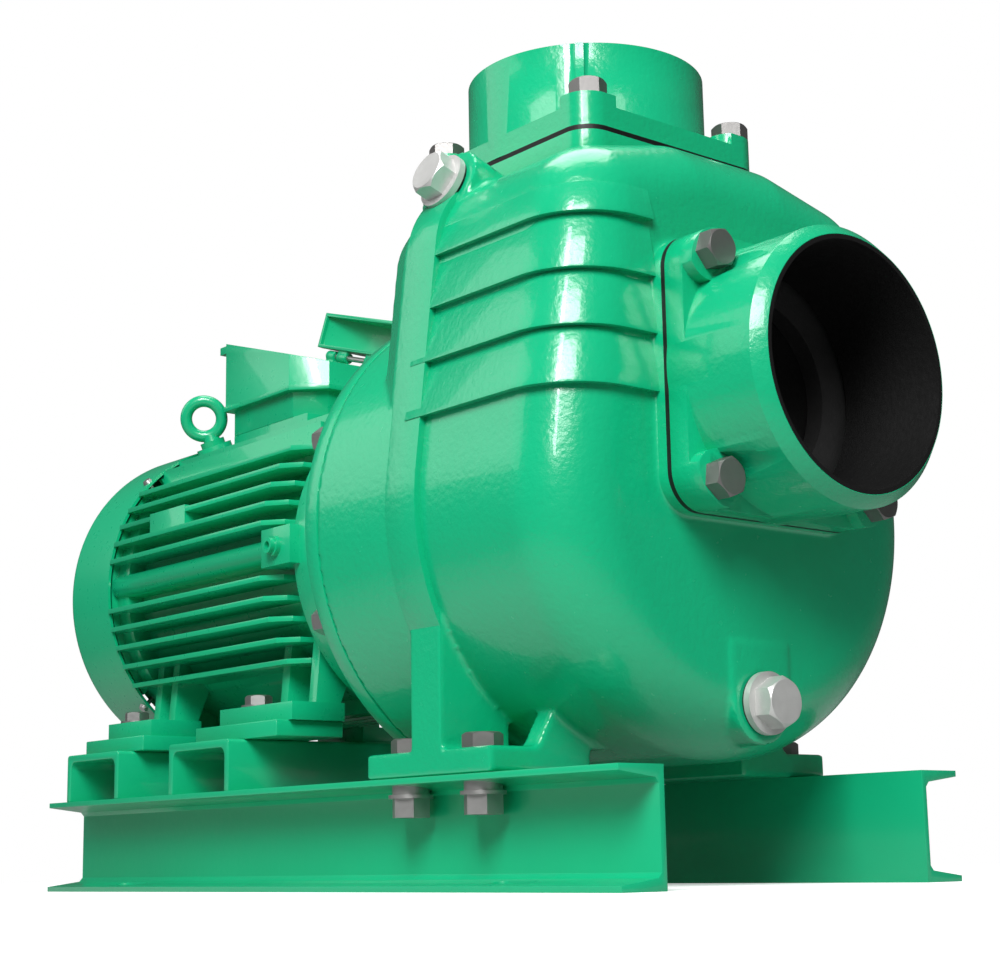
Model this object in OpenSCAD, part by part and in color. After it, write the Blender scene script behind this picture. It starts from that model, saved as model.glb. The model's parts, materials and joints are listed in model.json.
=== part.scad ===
// Self-priming pump, close coupled to an electric motor, on a rail base.
// The origin is the middle of the footprint on the floor. Y runs along the shaft,
// with the suction port at -Y and the fan at +Y. Z is up.

/* [Base frame] */
// Height of the rail channels
rail_h = 76.2; // [60:0.1:100]
// Length of the rails
rail_len = 732; // [700:1:760]
// Width of the rail flanges, from the back of the web
rail_flange = 38; // [36:0.5:42]
// Thickness of the rail web
rail_web = 4.3; // [3:0.1:6]
// Thickness of a rail flange at its tip
flange_tip = 4.1; // [3:0.1:6]
// Thickness of a rail flange at the web
flange_root = 8.4; // [6:0.1:10]
// Distance between the backs of the two rail webs
rail_gauge = 248.8; // [240:0.2:256]
// Middle of the rails along Y
rail_mid_y = 28.5; // [20:0.5:36]
// Distance from the middle of the rails to the middle of the discharge port
port_back = 178.5; // [172:0.5:186]
// Distance between anchor slots along a rail
anchor_pitch = 496; // [440:1:540]
// Width of an anchor slot
anchor_w = 14; // [10:0.5:16]
// Length of an anchor slot
anchor_l = 40; // [30:1:50]
// Height of the cross members
member_h = 40; // [36:0.5:50]
// Width of a cross member
member_w = 90; // [80:1:96]
// Wall of the cross members
member_t = 6; // [4:0.5:8]
// Length of the cross members
member_len = 322; // [300:1:330]
// Thickness of the pads under the motor feet
pad_t = 12.4; // [8:0.1:16]

/* [Motor] */
// Height of the shaft above the motor feet
motor_h = 132; // [130:0.5:136]
// Distance between motor foot holes across the shaft
foot_pitch_x = 230; // [224:1:236]
// Distance between motor foot holes along the shaft
foot_pitch_y = 196; // [180:1:204]
// Thickness of the motor foot plates
foot_t = 14; // [10:0.5:18]
// Radius of the motor barrel under the fins
barrel_r = 118; // [114:0.5:121]
// Radius of the cylinder that the fin tips lie on
fin_tip_r = 145; // [140:0.5:150]
// Thickness of a cooling fin
fin_t = 4; // [3:0.25:6]
// Distance from one fin to the next
fin_pitch = 16; // [14:0.25:18]
// Wall of the motor barrel
barrel_wall = 9; // [7:0.5:12]
// Length of the stator core
stator_len = 170; // [140:1:190]
// Outer radius of the fan cover
cover_r = 144; // [139:0.5:144]
// Wall of the fan cover
cover_wall = 2.5; // [2:0.25:4]
// Air gap between rotor and stator
air_gap = 0.6; // [0.4:0.1:1.2]
// Radius of the motor shaft in the rotor
shaft_r = 20; // [17:0.5:23]
// Blades on the cooling fan
fan_blades = 7; // [5:1:9]

/* [Casing] */
// Radius of the round bottom of the casing
bowl_r = 178; // [174:0.5:182]
// Half width of the casing where its sides meet the shoulder
shoulder_w = 157; // [150:0.5:164]
// Radius of the shoulder
shoulder_r = 60; // [54:1:68]
// Wall of the casing
casing_wall = 9; // [7:0.5:12]
// Rounding between the front and the sides of the casing
front_round = 50; // [40:1:58]
// Width of the raised rim around the middle of the casing
rim_w = 33; // [26:0.5:40]
// Height of the raised rim above the casing
rim_proud = 5; // [3:0.5:8]
// How far a step band stands out at its lower edge
band_proud = 5; // [3:0.5:8]
// Height from one step band to the next
band_pitch = 39.2; // [36:0.2:42]
// Thickness of the round flange
ring_t = 16; // [12:0.5:20]
// Length of a casing foot along the shaft
foot_len = 135; // [120:1:150]
// Thickness of a casing foot
casing_foot_t = 17.5; // [14:0.5:22]
// Distance between the bolts of a casing foot
foot_bolt_pitch = 79; // [74:1:86]

/* [Ports] */
// Height of the suction port above the shaft
suction_up = 72.2; // [66:0.2:78]
// Side of the square suction flange
suction_side = 187; // [184:1:192]
// Length of the suction hub from the flange face
suction_reach = 65.2; // [55:0.2:80]
// Width of the discharge flange across the shaft
discharge_wx = 180; // [176:1:184]
// Length of the discharge flange along the shaft
discharge_wy = 192; // [188:1:198]
// Height of the mouth of the discharge hub above the floor
discharge_top = 604; // [596:1:620]
// Thickness of the port flanges
flange_t = 16; // [12:0.5:20]
// Thickness of the port gaskets
gasket_t = 3.6; // [2:0.1:5]
// Corner radius of the suction flange
suction_corner = 26; // [20:1:28]
// Corner radius of the discharge flange
discharge_corner = 20; // [16:1:24]
// Thickness of the rubber liner in the suction hub
liner_t = 3.2; // [2:0.1:5]
// Width across the flats of the port bolt heads
bolt_af = 24; // [22:0.5:26]
// Radius of the port bolts
bolt_r = 8; // [7:0.25:9]
// Radius of the boss under a port bolt head
bolt_boss_r = 20; // [18:0.5:22]
// Height of the boss under a port bolt head
bolt_boss_h = 9; // [6:0.5:12]

/* [Wet end] */
// Radius of the impeller
impeller_r = 98; // [90:1:102]
// Vanes on the impeller
vanes = 4; // [3:1:6]
// Height of the impeller vanes
vane_h = 34; // [28:0.5:40]
// Thickness of the impeller shroud
shroud_t = 8; // [6:0.5:12]
// Gap between the impeller vanes and the wear plate
wear_gap = 0.8; // [0.4:0.1:1.5]
// Radius of the eye of the wear plate
eye_r = 54; // [48:1:58]
// Thickness of the wear plate
wear_t = 10; // [8:0.5:14]
// Radius of the check flap
flap_r = 69; // [66:0.5:72]
// Thickness of the check flap
flap_t = 8; // [6:0.5:10]
// Opening of the flap seat
seat_r = 62; // [58:0.5:65]

/* [Terminal box] */
// Half width of the terminal box
box_half = 60; // [54:1:66]
// Length of the terminal box along the shaft
box_len = 128; // [116:1:136]
// Height of the terminal box at its rear
box_h = 64; // [54:1:74]
// Slope of the rim of the terminal box, in degrees
box_slope = 17; // [10:0.5:22]
// Wall of the terminal box
box_wall = 4; // [3:0.25:6]
// How far the lid stands open, in degrees
lid_open = 96; // [80:1:110]

/* [Clearances] */
// Gap between solids that belong to different moving bodies
run_gap = 0.3; // [0.2:0.05:0.5]
// Radial clearance of a pin that turns in its hole
pin_gap = 0.05; // [0.02:0.01:0.1]
// Radial clearance of a bolt in its hole
bolt_gap = 1; // [0.5:0.1:1.5]

/* [Hidden] */
$fn = 64;
e = 0.01;
thin = 0.4;

// Heights
rail_top = rail_h;
member_top = rail_top + member_h;
pad_top = member_top + pad_t;
shaft_z = pad_top + motor_h;
suction_z = shaft_z + suction_up;
shoulder_z = shaft_z + 179.4;
neck_z = shaft_z + 247.6;
top_flange_z = neck_z + 17;
dis_flange_z = top_flange_z + gasket_t;
web_x = rail_gauge / 2;
tip_x = web_x + rail_flange;
flange_mid_x = web_x + rail_flange / 2 + 2;
flange_slope = (flange_root - flange_tip) / (rail_flange - rail_web);
member_x = member_len / 2;

// Places along the shaft
casing_y = rail_mid_y - port_back;
seam_y = casing_y + 94.4;
front_y = casing_y - 159.4;
pad_front_y = front_y - 9.5;
suction_flange_y = pad_front_y - gasket_t;
suction_face_y = suction_flange_y - flange_t;
ring_back_y = seam_y + ring_t;
belt_y = seam_y + 74.2;
fin_y0 = seam_y + 131;
fin_y1 = seam_y + 385.6;
frame_y1 = fin_y1 + 3;
cover_y1 = seam_y + 459.3;
foot_y1 = seam_y + 382;
foot_y0 = foot_y1 - foot_pitch_y;
stator_y0 = seam_y + 165;
box_y1 = seam_y + 329.6;
box_y0 = box_y1 - box_len;
box_z0 = shaft_z + 160.4;
box_mid_y = (box_y0 + box_y1) / 2;
neck_half = box_half - 6;

// Rotor
rotor_r = 66;
stator_r = barrel_r - barrel_wall;
front_brg_y = belt_y + 6;
rear_brg_y = frame_y1 - 22;
brg_w = 23;
brg_r = 45;
back_plate_y = seam_y - 20;
shroud_y = back_plate_y - 4;
vane_y = shroud_y - shroud_t - vane_h;
wear_y = vane_y - wear_gap;
impeller_hub_r = 26;
stub_shaft_r = 16;
spigot_r = bowl_r - 28;
seal_r = 27;
fan_y = frame_y1 + 16;
fan_len = 34;
fan_r = cover_r - 30;
shield_r = cover_r - 5;
cover_screws = [45, 135, 225, 315];

// Places of the fasteners, the cross members and the lifting eye
motor_bolt_r = 6;
relief_r = 18;
foot_nut_z = rail_top - flange_root - 2.4;
member_rear_y = foot_y1 - 6;
member_front_y = foot_y0 + 16;
eye_y = seam_y + 350;
eye_lean = -24;
eye_r0 = 146;
eye_turn = -40;

// Check flap
seat_y = pad_front_y + 14;
flap_y = seat_y + run_gap;
flap_pin_r = 4;
flap_pin_y = flap_y + flap_t / 2;
flap_pin_z = suction_z + flap_r + 6;
knuckle_r = flap_t / 2 + 3;
knuckle_half = 21;

// Lid hinge
lid_pin_r = 2.5;
lid_len = box_len - 6;
lid_reach = lid_len / cos(box_slope) - 4;
lid_w = 33;
lid_axis_x = box_half - 21;
lid_axis_up = 6;
lid_knuckles = [0.25, 0.62];
box_knuckles = [0.12, 0.78];

// Ports and plugs
suction_size = [suction_side, suction_side];
suction_bolts_at = [suction_side - 35, suction_side - 35];
suction_r = suction_side / 2 + 1.1;
suction_bore = suction_r - 8.3;
liner_bore = suction_bore - liner_t;
discharge_size = [discharge_wx, discharge_wy];
discharge_bolts_at = [discharge_wx - 34, discharge_wy - 29];
discharge_r = min(discharge_wx, discharge_wy) / 2 + 0.5;
discharge_bore = discharge_r - 8;
prime_pos = [-125.9, casing_y, shaft_z + 232.9];
prime_tilt = -70;
prime_boss_r = 29;
plug_r = 13;
plug_flange_r = 21;
drain_pos = [-4, front_y + 0.5, shaft_z - 141.7];
drain_boss_r = 27;
drain_boss_up = 40;
adapter_bolts_n = 8;
adapter_bolt_r = 6;
ring_r = bowl_r + 7.6;
adapter_pcd_r = ring_r - 10.6;

green = [0.10, 0.62, 0.42];
steel = [0.36, 0.36, 0.38];
zinc = [0.75, 0.75, 0.73];
black = [0.06, 0.06, 0.06];
copper = [0.72, 0.42, 0.22];

// Helpers: shapes along the shaft
module ycyl(r, y0, y1, x = 0, z = 0) {
    translate([x, y0, z]) rotate([-90, 0, 0]) cylinder(r = r, h = y1 - y0);
}
module yprofile(y0, y1) {
    translate([0, y1, 0]) rotate([90, 0, 0]) linear_extrude(y1 - y0) children();
}
module yturn() {
    translate([0, 0, shaft_z]) rotate([-90, 0, 0]) rotate_extrude($fn = 96) children();
}
module round_plate(size, r, h) {
    sx = size[0] / 2 - r;
    sy = size[1] / 2 - r;
    translate([-sx - r, -sy, 0]) cube([2 * (sx + r), 2 * sy, h]);
    translate([-sx, -sy - r, 0]) cube([2 * sx, 2 * (sy + r), h]);
    for (x = [-sx, sx], y = [-sy, sy]) translate([x, y, 0]) cylinder(r = r, h = h);
}
module at_corners(pitch) {
    for (x = [-pitch[0] / 2, pitch[0] / 2], y = [-pitch[1] / 2, pitch[1] / 2])
        translate([x, y, 0]) children();
}
// Round bosses under the bolt heads, cut off along the outline of their flange
module flange_bosses(size, r, pitch, h) {
    intersection() {
        round_plate(size, r, h);
        at_corners(pitch) cylinder(r = bolt_boss_r, h = h);
    }
}
module hex(af, h) {
    cylinder(r = af / sqrt(3), h = h, $fn = 6);
}
// A hexagon head bolt: washer face at z = 0, shank down, head up
module hex_bolt(af, r, head, shank) {
    intersection() {
        hex(af, head);
        translate([0, 0, -e]) cylinder(r1 = af / 2 + head * 1.4, r2 = af / 2 - 0.4, h = head + 2 * e);
    }
    translate([0, 0, -shank]) cylinder(r = r, h = shank + e);
}
module ring(ro, ri, h) {
    difference() {
        cylinder(r = ro, h = h);
        translate([0, 0, -1]) cylinder(r = ri, h = h + 2);
    }
}

// Base frame
module rail() {
    slope = flange_slope;
    difference() {
        yprofile(rail_mid_y - rail_len / 2, rail_mid_y + rail_len / 2)
            polygon([[-web_x, 0], [-web_x, rail_h], [-tip_x, rail_h], [-tip_x, rail_h - flange_tip],
                [-web_x - rail_web - 3, rail_h - flange_root + 3 * slope],
                [-web_x - rail_web, rail_h - flange_root - 3],
                [-web_x - rail_web, flange_root + 3],
                [-web_x - rail_web - 3, flange_root - 3 * slope],
                [-tip_x, flange_tip], [-tip_x, 0]]);
        for (s = [-1, 1])
            translate([-flange_mid_x, rail_mid_y + s * anchor_pitch / 2, -1])
                slot(anchor_w, anchor_l, flange_root + 2);
        for (s = [-1, 1])
            translate([-flange_mid_x, casing_y + s * foot_bolt_pitch / 2, rail_h - flange_root - 1])
                cylinder(r = bolt_r + bolt_gap, h = flange_root + 2);
    }
}
module slot(w, l, h) {
    s = (l - w) / 2;
    translate([0, -s, 0]) cylinder(r = w / 2, h = h);
    translate([0, s, 0]) cylinder(r = w / 2, h = h);
    translate([-w / 2, -s, 0]) cube([w, 2 * s, h]);
}
module rail_left() {
    color(green) rail();
}
module rail_right() {
    color(green) mirror([1, 0, 0]) rail();
}
module member(y) {
    r = 7;
    inner = member_w / 2 - member_t;
    difference() {
        translate([-member_x, y, rail_top]) rotate([90, 0, 90]) linear_extrude(member_len)
            difference() {
                union() {
                    translate([-member_w / 2, 0]) square([member_w, member_h - 3]);
                    translate([-member_w / 2 + 3, 0]) square([member_w - 6, member_h]);
                    for (s = [-1, 1]) translate([s * (member_w / 2 - 3), member_h - 3]) circle(3);
                }
                translate([-inner, -1]) square([2 * inner, member_h - member_t - r + 1]);
                translate([-inner + r, -1]) square([2 * (inner - r), member_h - member_t + 1]);
                for (s = [-1, 1]) translate([s * (inner - r), member_h - member_t - r]) circle(r);
            }
        for (s = [-1, 1])
            translate([s * foot_pitch_x / 2, near_foot(y), rail_top + member_h - member_t - 1])
                cylinder(r = motor_bolt_r + bolt_gap, h = member_t + 2);
    }
}
function near_foot(y) = y > (member_rear_y + member_front_y) / 2 ? foot_y1 : foot_y0;
module motor_crossmember_front() {
    color(green) member(member_front_y);
}
module motor_crossmember_rear() {
    color(green) member(member_rear_y);
}
// Steel pads between the cross members and the motor feet
module motor_pads() {
    w = 62;
    color(green) for (s = [-1, 1], y = [foot_y0, foot_y1]) {
        len = y == foot_y0 ? 118 : 100;
        mid = y == foot_y0 ? y - 14 : y - 16;
        difference() {
            translate([s * foot_pitch_x / 2 - w / 2, mid - len / 2, member_top]) cube([w, len, pad_t]);
            translate([s * foot_pitch_x / 2, y, member_top - 1])
                cylinder(r = motor_bolt_r + bolt_gap, h = pad_t + 2);
        }
    }
}

// Casing. Its section across the shaft is a bowl, two shoulders and a neck
module section(inset) {
    hull() {
        translate([0, shaft_z]) circle(bowl_r - inset, $fn = 72);
        for (s = [-1, 1]) {
            translate([s * (shoulder_w - shoulder_r), shoulder_z]) circle(shoulder_r - inset, $fn = 32);
            translate([s * 40, neck_z - 46.9]) circle(52 - inset, $fn = 32);
        }
    }
}
module slice(y, inset) {
    yprofile(y, y + thin) section(inset);
}
// Closed body from a flat rear end to a rounded front end
module lofted(y_rear, y_front, round, inset) {
    hull() {
        slice(y_rear, inset);
        for (a = [0:15:90]) slice(y_front + round * (1 - sin(a)), inset + round * (1 - cos(a)) * 0.98);
    }
}
// Half width of the casing's side at a height above the shaft
function side_w(z) =
    bowl_r - (bowl_r - shoulder_w) * max(0, (z - shaft_z - 20) / (shoulder_z - shaft_z - 20));
// A step band wraps the side and the front, flush at its top and proud at its foot.
// It reaches up to the foot of the next one, and the first ends where the shoulder bends in
module step_band(k) {
    z0 = shoulder_z - 4 - k * band_pitch;
    h = k == 0 ? 22 : band_pitch - 1.2;
    intersection() {
        hull() {
            translate([0, 0, z0]) linear_extrude(thin) band_outline(z0, band_proud);
            translate([0, 0, z0 + 3]) linear_extrude(thin) band_outline(z0 + 3, band_proud - 0.3);
            translate([0, 0, z0 + h]) linear_extrude(thin) band_outline(z0 + h, -1);
        }
        for (s = [-1, 1])
            translate([s * (suction_side / 2 + 100) - 100, front_y - 20, z0 - 1])
                cube([200, casing_y - front_y, h + 2]);
    }
}
module band_outline(z, out) {
    w = side_w(z);
    r = front_round - 3.3;
    hull() {
        for (s = [-1, 1]) {
            translate([s * (w - r), front_y + r]) circle(r + out, $fn = 48);
            translate([s * (w + out - 1), casing_y]) square(2, center = true);
        }
    }
}
module casing_foot() {
    h = casing_foot_t;
    x0 = -tip_x;
    difference() {
        union() {
            translate([x0, casing_y - foot_len / 2, rail_top]) cube([tip_x - 74, foot_len, h]);
            // Upright web between the foot and the rim
            translate([x0, casing_y - rim_w / 2, rail_top + h - e]) cube([60, rim_w, shaft_z - rail_top - h]);
            // Sloping wing along the front edge of the foot
            for (y0 = [casing_y - foot_len / 2, casing_y + foot_len / 2 - 16]) yprofile(y0, y0 + 16)
                polygon([[-122, rail_top + h - 1], [-104, rail_top + h + 30],
                    [-60, rail_top + h + 40], [-60, rail_top + h - 1]]);
            // Fillets at the bottom of the upright web
            for (s = [-1, 1]) translate([x0, casing_y, 0]) rotate([90, 0, 90]) linear_extrude(60)
                polygon([[s * (rim_w / 2 - e), rail_top + h - 1], [s * (rim_w / 2 + 9), rail_top + h - 1],
                    [s * (rim_w / 2 + 3), rail_top + h + 4], [s * (rim_w / 2 - e), rail_top + h + 11]]);
        }
        for (s = [-1, 1]) translate([-flange_mid_x, casing_y + s * foot_bolt_pitch / 2, rail_top - 1])
            cylinder(r = bolt_r + bolt_gap, h = h + 2, $fn = 24);
    }
}
// Boss for the priming plug, tilted out of the shoulder
module at_prime() {
    translate(prime_pos) rotate([0, prime_tilt, 0]) children();
}
module at_drain() {
    translate(drain_pos) rotate([90, 0, 0]) children();
}
module at_suction(y) {
    translate([0, y, suction_z]) rotate([90, 0, 0]) children();
}
module at_discharge(z) {
    translate([0, casing_y, z]) children();
}
module casing_outside() {
    lofted(casing_y, front_y, front_round, 0);
    // Rear half, drawn in towards the motor
    hull() {
        slice(casing_y, 0);
        slice(casing_y + 30, 3);
        slice(casing_y + 52, 12);
        slice(casing_y + 62, 26);
    }
    // Raised rim in the plane of the discharge port
    difference() {
        yprofile(casing_y - rim_w / 2, casing_y + rim_w / 2) section(-rim_proud);
        translate([-200, casing_y - 50, neck_z - 14.6]) cube([400, 100, 100]);
        translate([-110, casing_y - 50, 40]) cube([220, 100, 120]);
    }
    // Round rear part, widening to the joint with the adapter
    translate([0, casing_y, shaft_z]) rotate([-90, 0, 0])
        cylinder(r1 = bowl_r + rim_proud - 1.5, r2 = ring_r, h = seam_y - casing_y, $fn = 96);
    // Neck and flange under the discharge hub
    at_discharge(shoulder_z) round_plate([discharge_wx - 8, discharge_wy - 8], 40, neck_z - shoulder_z + 2);
    at_discharge(neck_z) round_plate(discharge_size, discharge_corner, top_flange_z - neck_z);
    // Pad behind the suction flange
    at_suction(front_y + 30) round_plate(suction_size, suction_corner, front_y + 30 - pad_front_y);
    for (k = [0:3]) step_band(k);
    casing_foot();
    mirror([1, 0, 0]) casing_foot();
    at_prime() translate([0, 0, -30]) cylinder(r = prime_boss_r, h = 42, $fn = 48);
    // Upright boss for the drain plug, round below and running out into the front above
    at_drain() translate([0, 0, -60]) {
        cylinder(r = drain_boss_r, h = 62, $fn = 48);
        translate([-drain_boss_r, 0, 0]) cube([2 * drain_boss_r, drain_boss_up, 62]);
    }
}
// The suction chamber inside the casing, from the flap to the eye of the wear plate
module suction_chamber(wall) {
    hull() {
        ycyl(93 + wall, front_y + 2, front_y + 60, z = suction_z, $fn = 48);
        ycyl(eye_r + 8 + wall, wear_y - wear_t - 4, wear_y - wear_t - 1, z = shaft_z, $fn = 48);
    }
}
module casing_inside() {
    difference() {
        union() {
            lofted(casing_y, front_y + casing_wall, front_round - casing_wall, casing_wall);
            hull() {
                slice(casing_y, casing_wall);
                slice(casing_y + 28, casing_wall + 3);
                slice(casing_y + 52, casing_wall + 16);
            }
        }
        suction_chamber(7);
    }
    difference() {
        suction_chamber(0);
        translate([-200, front_y - 10, 0]) cube([400, 10 + casing_wall, 600]);
    }
    ycyl(eye_r, wear_y - wear_t - 20, wear_y - wear_t + 1, z = shaft_z, $fn = 48);
    ycyl(spigot_r, seam_y - 70, seam_y + 1, z = shaft_z, $fn = 96);
    at_suction(front_y + 60) cylinder(r = suction_bore + 1.7, h = 80, $fn = 64);
    at_discharge(neck_z - 33) cylinder(r = discharge_bore, h = 60, $fn = 64);
    at_prime() translate([0, 0, -60]) cylinder(r = plug_r + 0.3, h = 80, $fn = 32);
    // Flat seat for the washer of the priming plug
    at_prime() translate([0, 0, 12 - e]) rotate([0, 0, 2]) cylinder(r = plug_flange_r + 1.7, h = 40, $fn = 48);
    at_drain() translate([0, 0, -60]) cylinder(r = plug_r + 0.3, h = 80, $fn = 32);
    at_suction(pad_front_y + 25) at_corners(suction_bolts_at) cylinder(r = bolt_r + 0.3, h = 26, $fn = 24);
    at_discharge(top_flange_z - 28) at_corners(discharge_bolts_at)
        cylinder(r = bolt_r + 0.3, h = 40, $fn = 24);
    at_adapter_bolts() translate([0, 0, -14]) cylinder(r = adapter_bolt_r + 0.3, h = 30, $fn = 24);
}
module pump_casing() {
    color(green) difference() {
        casing_outside();
        casing_inside();
    }
}
module at_adapter_bolts() {
    for (k = [0:adapter_bolts_n - 1])
        translate([0, seam_y, shaft_z]) rotate([0, 22.5 + k * 360 / adapter_bolts_n, 0])
            translate([adapter_pcd_r, 0, 0]) rotate([-90, 0, 0]) children();
}

// Suction port
module suction_flange_gasket() {
    color(black) at_suction(pad_front_y) difference() {
        round_plate(suction_size, suction_corner, gasket_t);
        translate([0, 0, -1]) cylinder(r = suction_bore + 2.2, h = gasket_t + 2);
        translate([0, 0, -1]) at_corners(suction_bolts_at)
            cylinder(r = bolt_r + bolt_gap, h = gasket_t + 2);
    }
}
module suction_hub() {
    bevel = suction_r - suction_bore;
    color(green) at_suction(suction_flange_y) difference() {
        union() {
            round_plate(suction_size, suction_corner, flange_t);
            cylinder(r = suction_r, h = flange_t + suction_reach - bevel);
            translate([0, 0, flange_t + suction_reach - bevel - e])
                cylinder(r1 = suction_r, r2 = suction_bore + 0.4, h = bevel);
            flange_bosses(suction_size, suction_corner, suction_bolts_at, flange_t + bolt_boss_h);
        }
        translate([0, 0, -1]) cylinder(r = suction_bore, h = flange_t + suction_reach + 2);
        translate([0, 0, -1]) at_corners(suction_bolts_at)
            cylinder(r = bolt_r + bolt_gap, h = flange_t + bolt_boss_h + 2);
        // Tapered reliefs in the hub beside the bolt heads
        translate([0, 0, flange_t + bolt_boss_h]) at_corners(suction_bolts_at)
            cylinder(r1 = relief_r, r2 = relief_r - 7, h = suction_reach);
    }
}
module suction_liner() {
    color(black) at_suction(suction_flange_y) ring(suction_bore - 0.05, liner_bore, flange_t + suction_reach);
}
module suction_bolts() {
    color(steel) at_suction(suction_face_y - bolt_boss_h) at_corners(suction_bolts_at)
        hex_bolt(bolt_af, bolt_r, 12, flange_t + bolt_boss_h + gasket_t + 20);
}

// Discharge port
module discharge_gasket() {
    color(black) at_discharge(top_flange_z) difference() {
        round_plate(discharge_size, discharge_corner, gasket_t);
        translate([0, 0, -1]) cylinder(r = discharge_bore, h = gasket_t + 2);
        translate([0, 0, -1]) at_corners(discharge_bolts_at)
            cylinder(r = bolt_r + bolt_gap, h = gasket_t + 2);
    }
}
module discharge_hub() {
    h = discharge_top - dis_flange_z;
    color(green) at_discharge(dis_flange_z) difference() {
        union() {
            round_plate(discharge_size, discharge_corner, flange_t);
            cylinder(r = discharge_r, h = h);
            flange_bosses(discharge_size, discharge_corner, discharge_bolts_at, flange_t + bolt_boss_h);
            // Parting line of the mould, left as a low rib
            for (a = [-135, 45]) rotate([0, 0, a]) translate([discharge_r - 4, -3, 0]) cube([5.2, 6, h]);
        }
        translate([0, 0, -1]) cylinder(r = discharge_bore, h = h + 2);
        translate([0, 0, -1]) at_corners(discharge_bolts_at)
            cylinder(r = bolt_r + bolt_gap, h = flange_t + bolt_boss_h + 2);
    }
}
module discharge_bolts() {
    color(steel) at_discharge(dis_flange_z + flange_t + bolt_boss_h) at_corners(discharge_bolts_at)
        hex_bolt(bolt_af, bolt_r, 12, flange_t + bolt_boss_h + gasket_t + 20);
}

// Check valve behind the suction port
module flap_seat() {
    color(steel) difference() {
        union() {
            at_suction(seat_y) ring(suction_bore + 1.3, seat_r, seat_y - pad_front_y);
            for (s = [-1, 1]) translate([s * 26 - 4, seat_y - 2, flap_pin_z - 6]) cube([8, flap_t + 5, 12]);
        }
        translate([-40, flap_pin_y, flap_pin_z]) rotate([0, 90, 0]) cylinder(r = flap_pin_r, h = 80);
        // Room for the knuckle of the flap
        translate([-knuckle_half - 1, flap_pin_y, flap_pin_z]) rotate([0, 90, 0])
            cylinder(r = knuckle_r + run_gap, h = 2 * knuckle_half + 2);
    }
}
module flap_pin() {
    color(zinc) translate([-33, flap_pin_y, flap_pin_z]) rotate([0, 90, 0]) cylinder(r = flap_pin_r, h = 66);
}
module check_flap() {
    color(black) difference() {
        union() {
            ycyl(flap_r, flap_y, flap_y + flap_t, z = suction_z);
            translate([-knuckle_half, flap_y, suction_z + flap_r - 12])
                cube([2 * knuckle_half, flap_t, flap_pin_z - suction_z - flap_r + 12]);
            translate([-knuckle_half, flap_pin_y, flap_pin_z]) rotate([0, 90, 0])
                cylinder(r = knuckle_r, h = 2 * knuckle_half);
        }
        translate([-40, flap_pin_y, flap_pin_z]) rotate([0, 90, 0])
            cylinder(r = flap_pin_r + pin_gap, h = 80);
    }
}
// Steel disc on the back of the rubber flap
module flap_weight() {
    color(steel) {
        ycyl(46, flap_y + flap_t, flap_y + flap_t + 6, z = suction_z);
        translate([0, flap_y + flap_t + 6 - e, suction_z]) rotate([-90, 0, 0]) hex(19, 7);
    }
}

// Plugs
module plug() {
    cylinder(r = plug_flange_r, h = 5);
    intersection() {
        translate([0, 0, 4]) rotate([0, 0, 30]) hex(30, 15);
        translate([0, 0, 4]) cylinder(r1 = 30, r2 = 14.5, h = 15);
    }
    translate([0, 0, -24]) cylinder(r = plug_r, h = 25);
}
module priming_plug() {
    color(zinc) at_prime() translate([0, 0, 14]) plug();
}
module priming_plug_washer() {
    color(black) at_prime() translate([0, 0, 12]) ring(plug_flange_r - 1, plug_r + 0.3, 2 - run_gap);
}
module drain_plug() {
    color(zinc) at_drain() translate([0, 0, 4]) plug();
}
module drain_plug_washer() {
    color(black) at_drain() translate([0, 0, 2]) ring(plug_flange_r - 1, plug_r + 0.3, 2 - run_gap);
}

// Wet end
function spiral_r(a) = impeller_r + 12 + 22 * a / 300;
function spiral_at(a, out) = [(spiral_r(a) + out) * cos(50 - a), (spiral_r(a) + out) * sin(50 - a)];
module volute() {
    wall = 7;
    n = 50;
    y1 = back_plate_y - 0.2;
    color(green) translate([0, y1, shaft_z]) rotate([90, 0, 0]) linear_extrude(y1 - wear_y)
        polygon(concat([for (k = [0:n]) spiral_at(300 * k / n, 0)],
            [for (k = [n:-1:0]) spiral_at(300 * k / n, wall)]));
}
module wear_plate() {
    color(steel) difference() {
        ycyl(spiral_r(300) + 6, wear_y - wear_t, wear_y, z = shaft_z);
        ycyl(eye_r, wear_y - wear_t - 1, wear_y + 1, z = shaft_z);
        translate([-200, wear_y - wear_t - 1, shaft_z + impeller_r + 16]) cube([400, wear_t + 2, 100]);
    }
}
// One curved vane, cut from two offset circles
module vane() {
    intersection() {
        difference() {
            translate([0, 46]) circle(64);
            translate([4, 50]) circle(61);
        }
        difference() {
            circle(impeller_r);
            circle(impeller_hub_r - 4);
        }
        translate([0, -100]) square([200, 150]);
    }
}
module impeller() {
    color(steel) difference() {
        union() {
            ycyl(impeller_r, shroud_y - shroud_t, shroud_y, z = shaft_z);
            ycyl(impeller_hub_r, vane_y + 10, shroud_y, z = shaft_z);
            translate([0, shroud_y - shroud_t + e, shaft_z]) rotate([90, 0, 0]) linear_extrude(vane_h)
                for (k = [0:vanes - 1]) rotate(k * 360 / vanes) vane();
        }
        ycyl(stub_shaft_r + 0.02, vane_y - 1, shroud_y + 1, z = shaft_z);
    }
}
module impeller_nut() {
    color(zinc) difference() {
        translate([0, vane_y + 10, shaft_z]) rotate([90, 0, 0]) union() {
            cylinder(r = 22, h = 4);
            translate([0, 0, 3]) hex(32, 16);
        }
        ycyl(10, vane_y - 20, vane_y + 12, z = shaft_z);
    }
}

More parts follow.
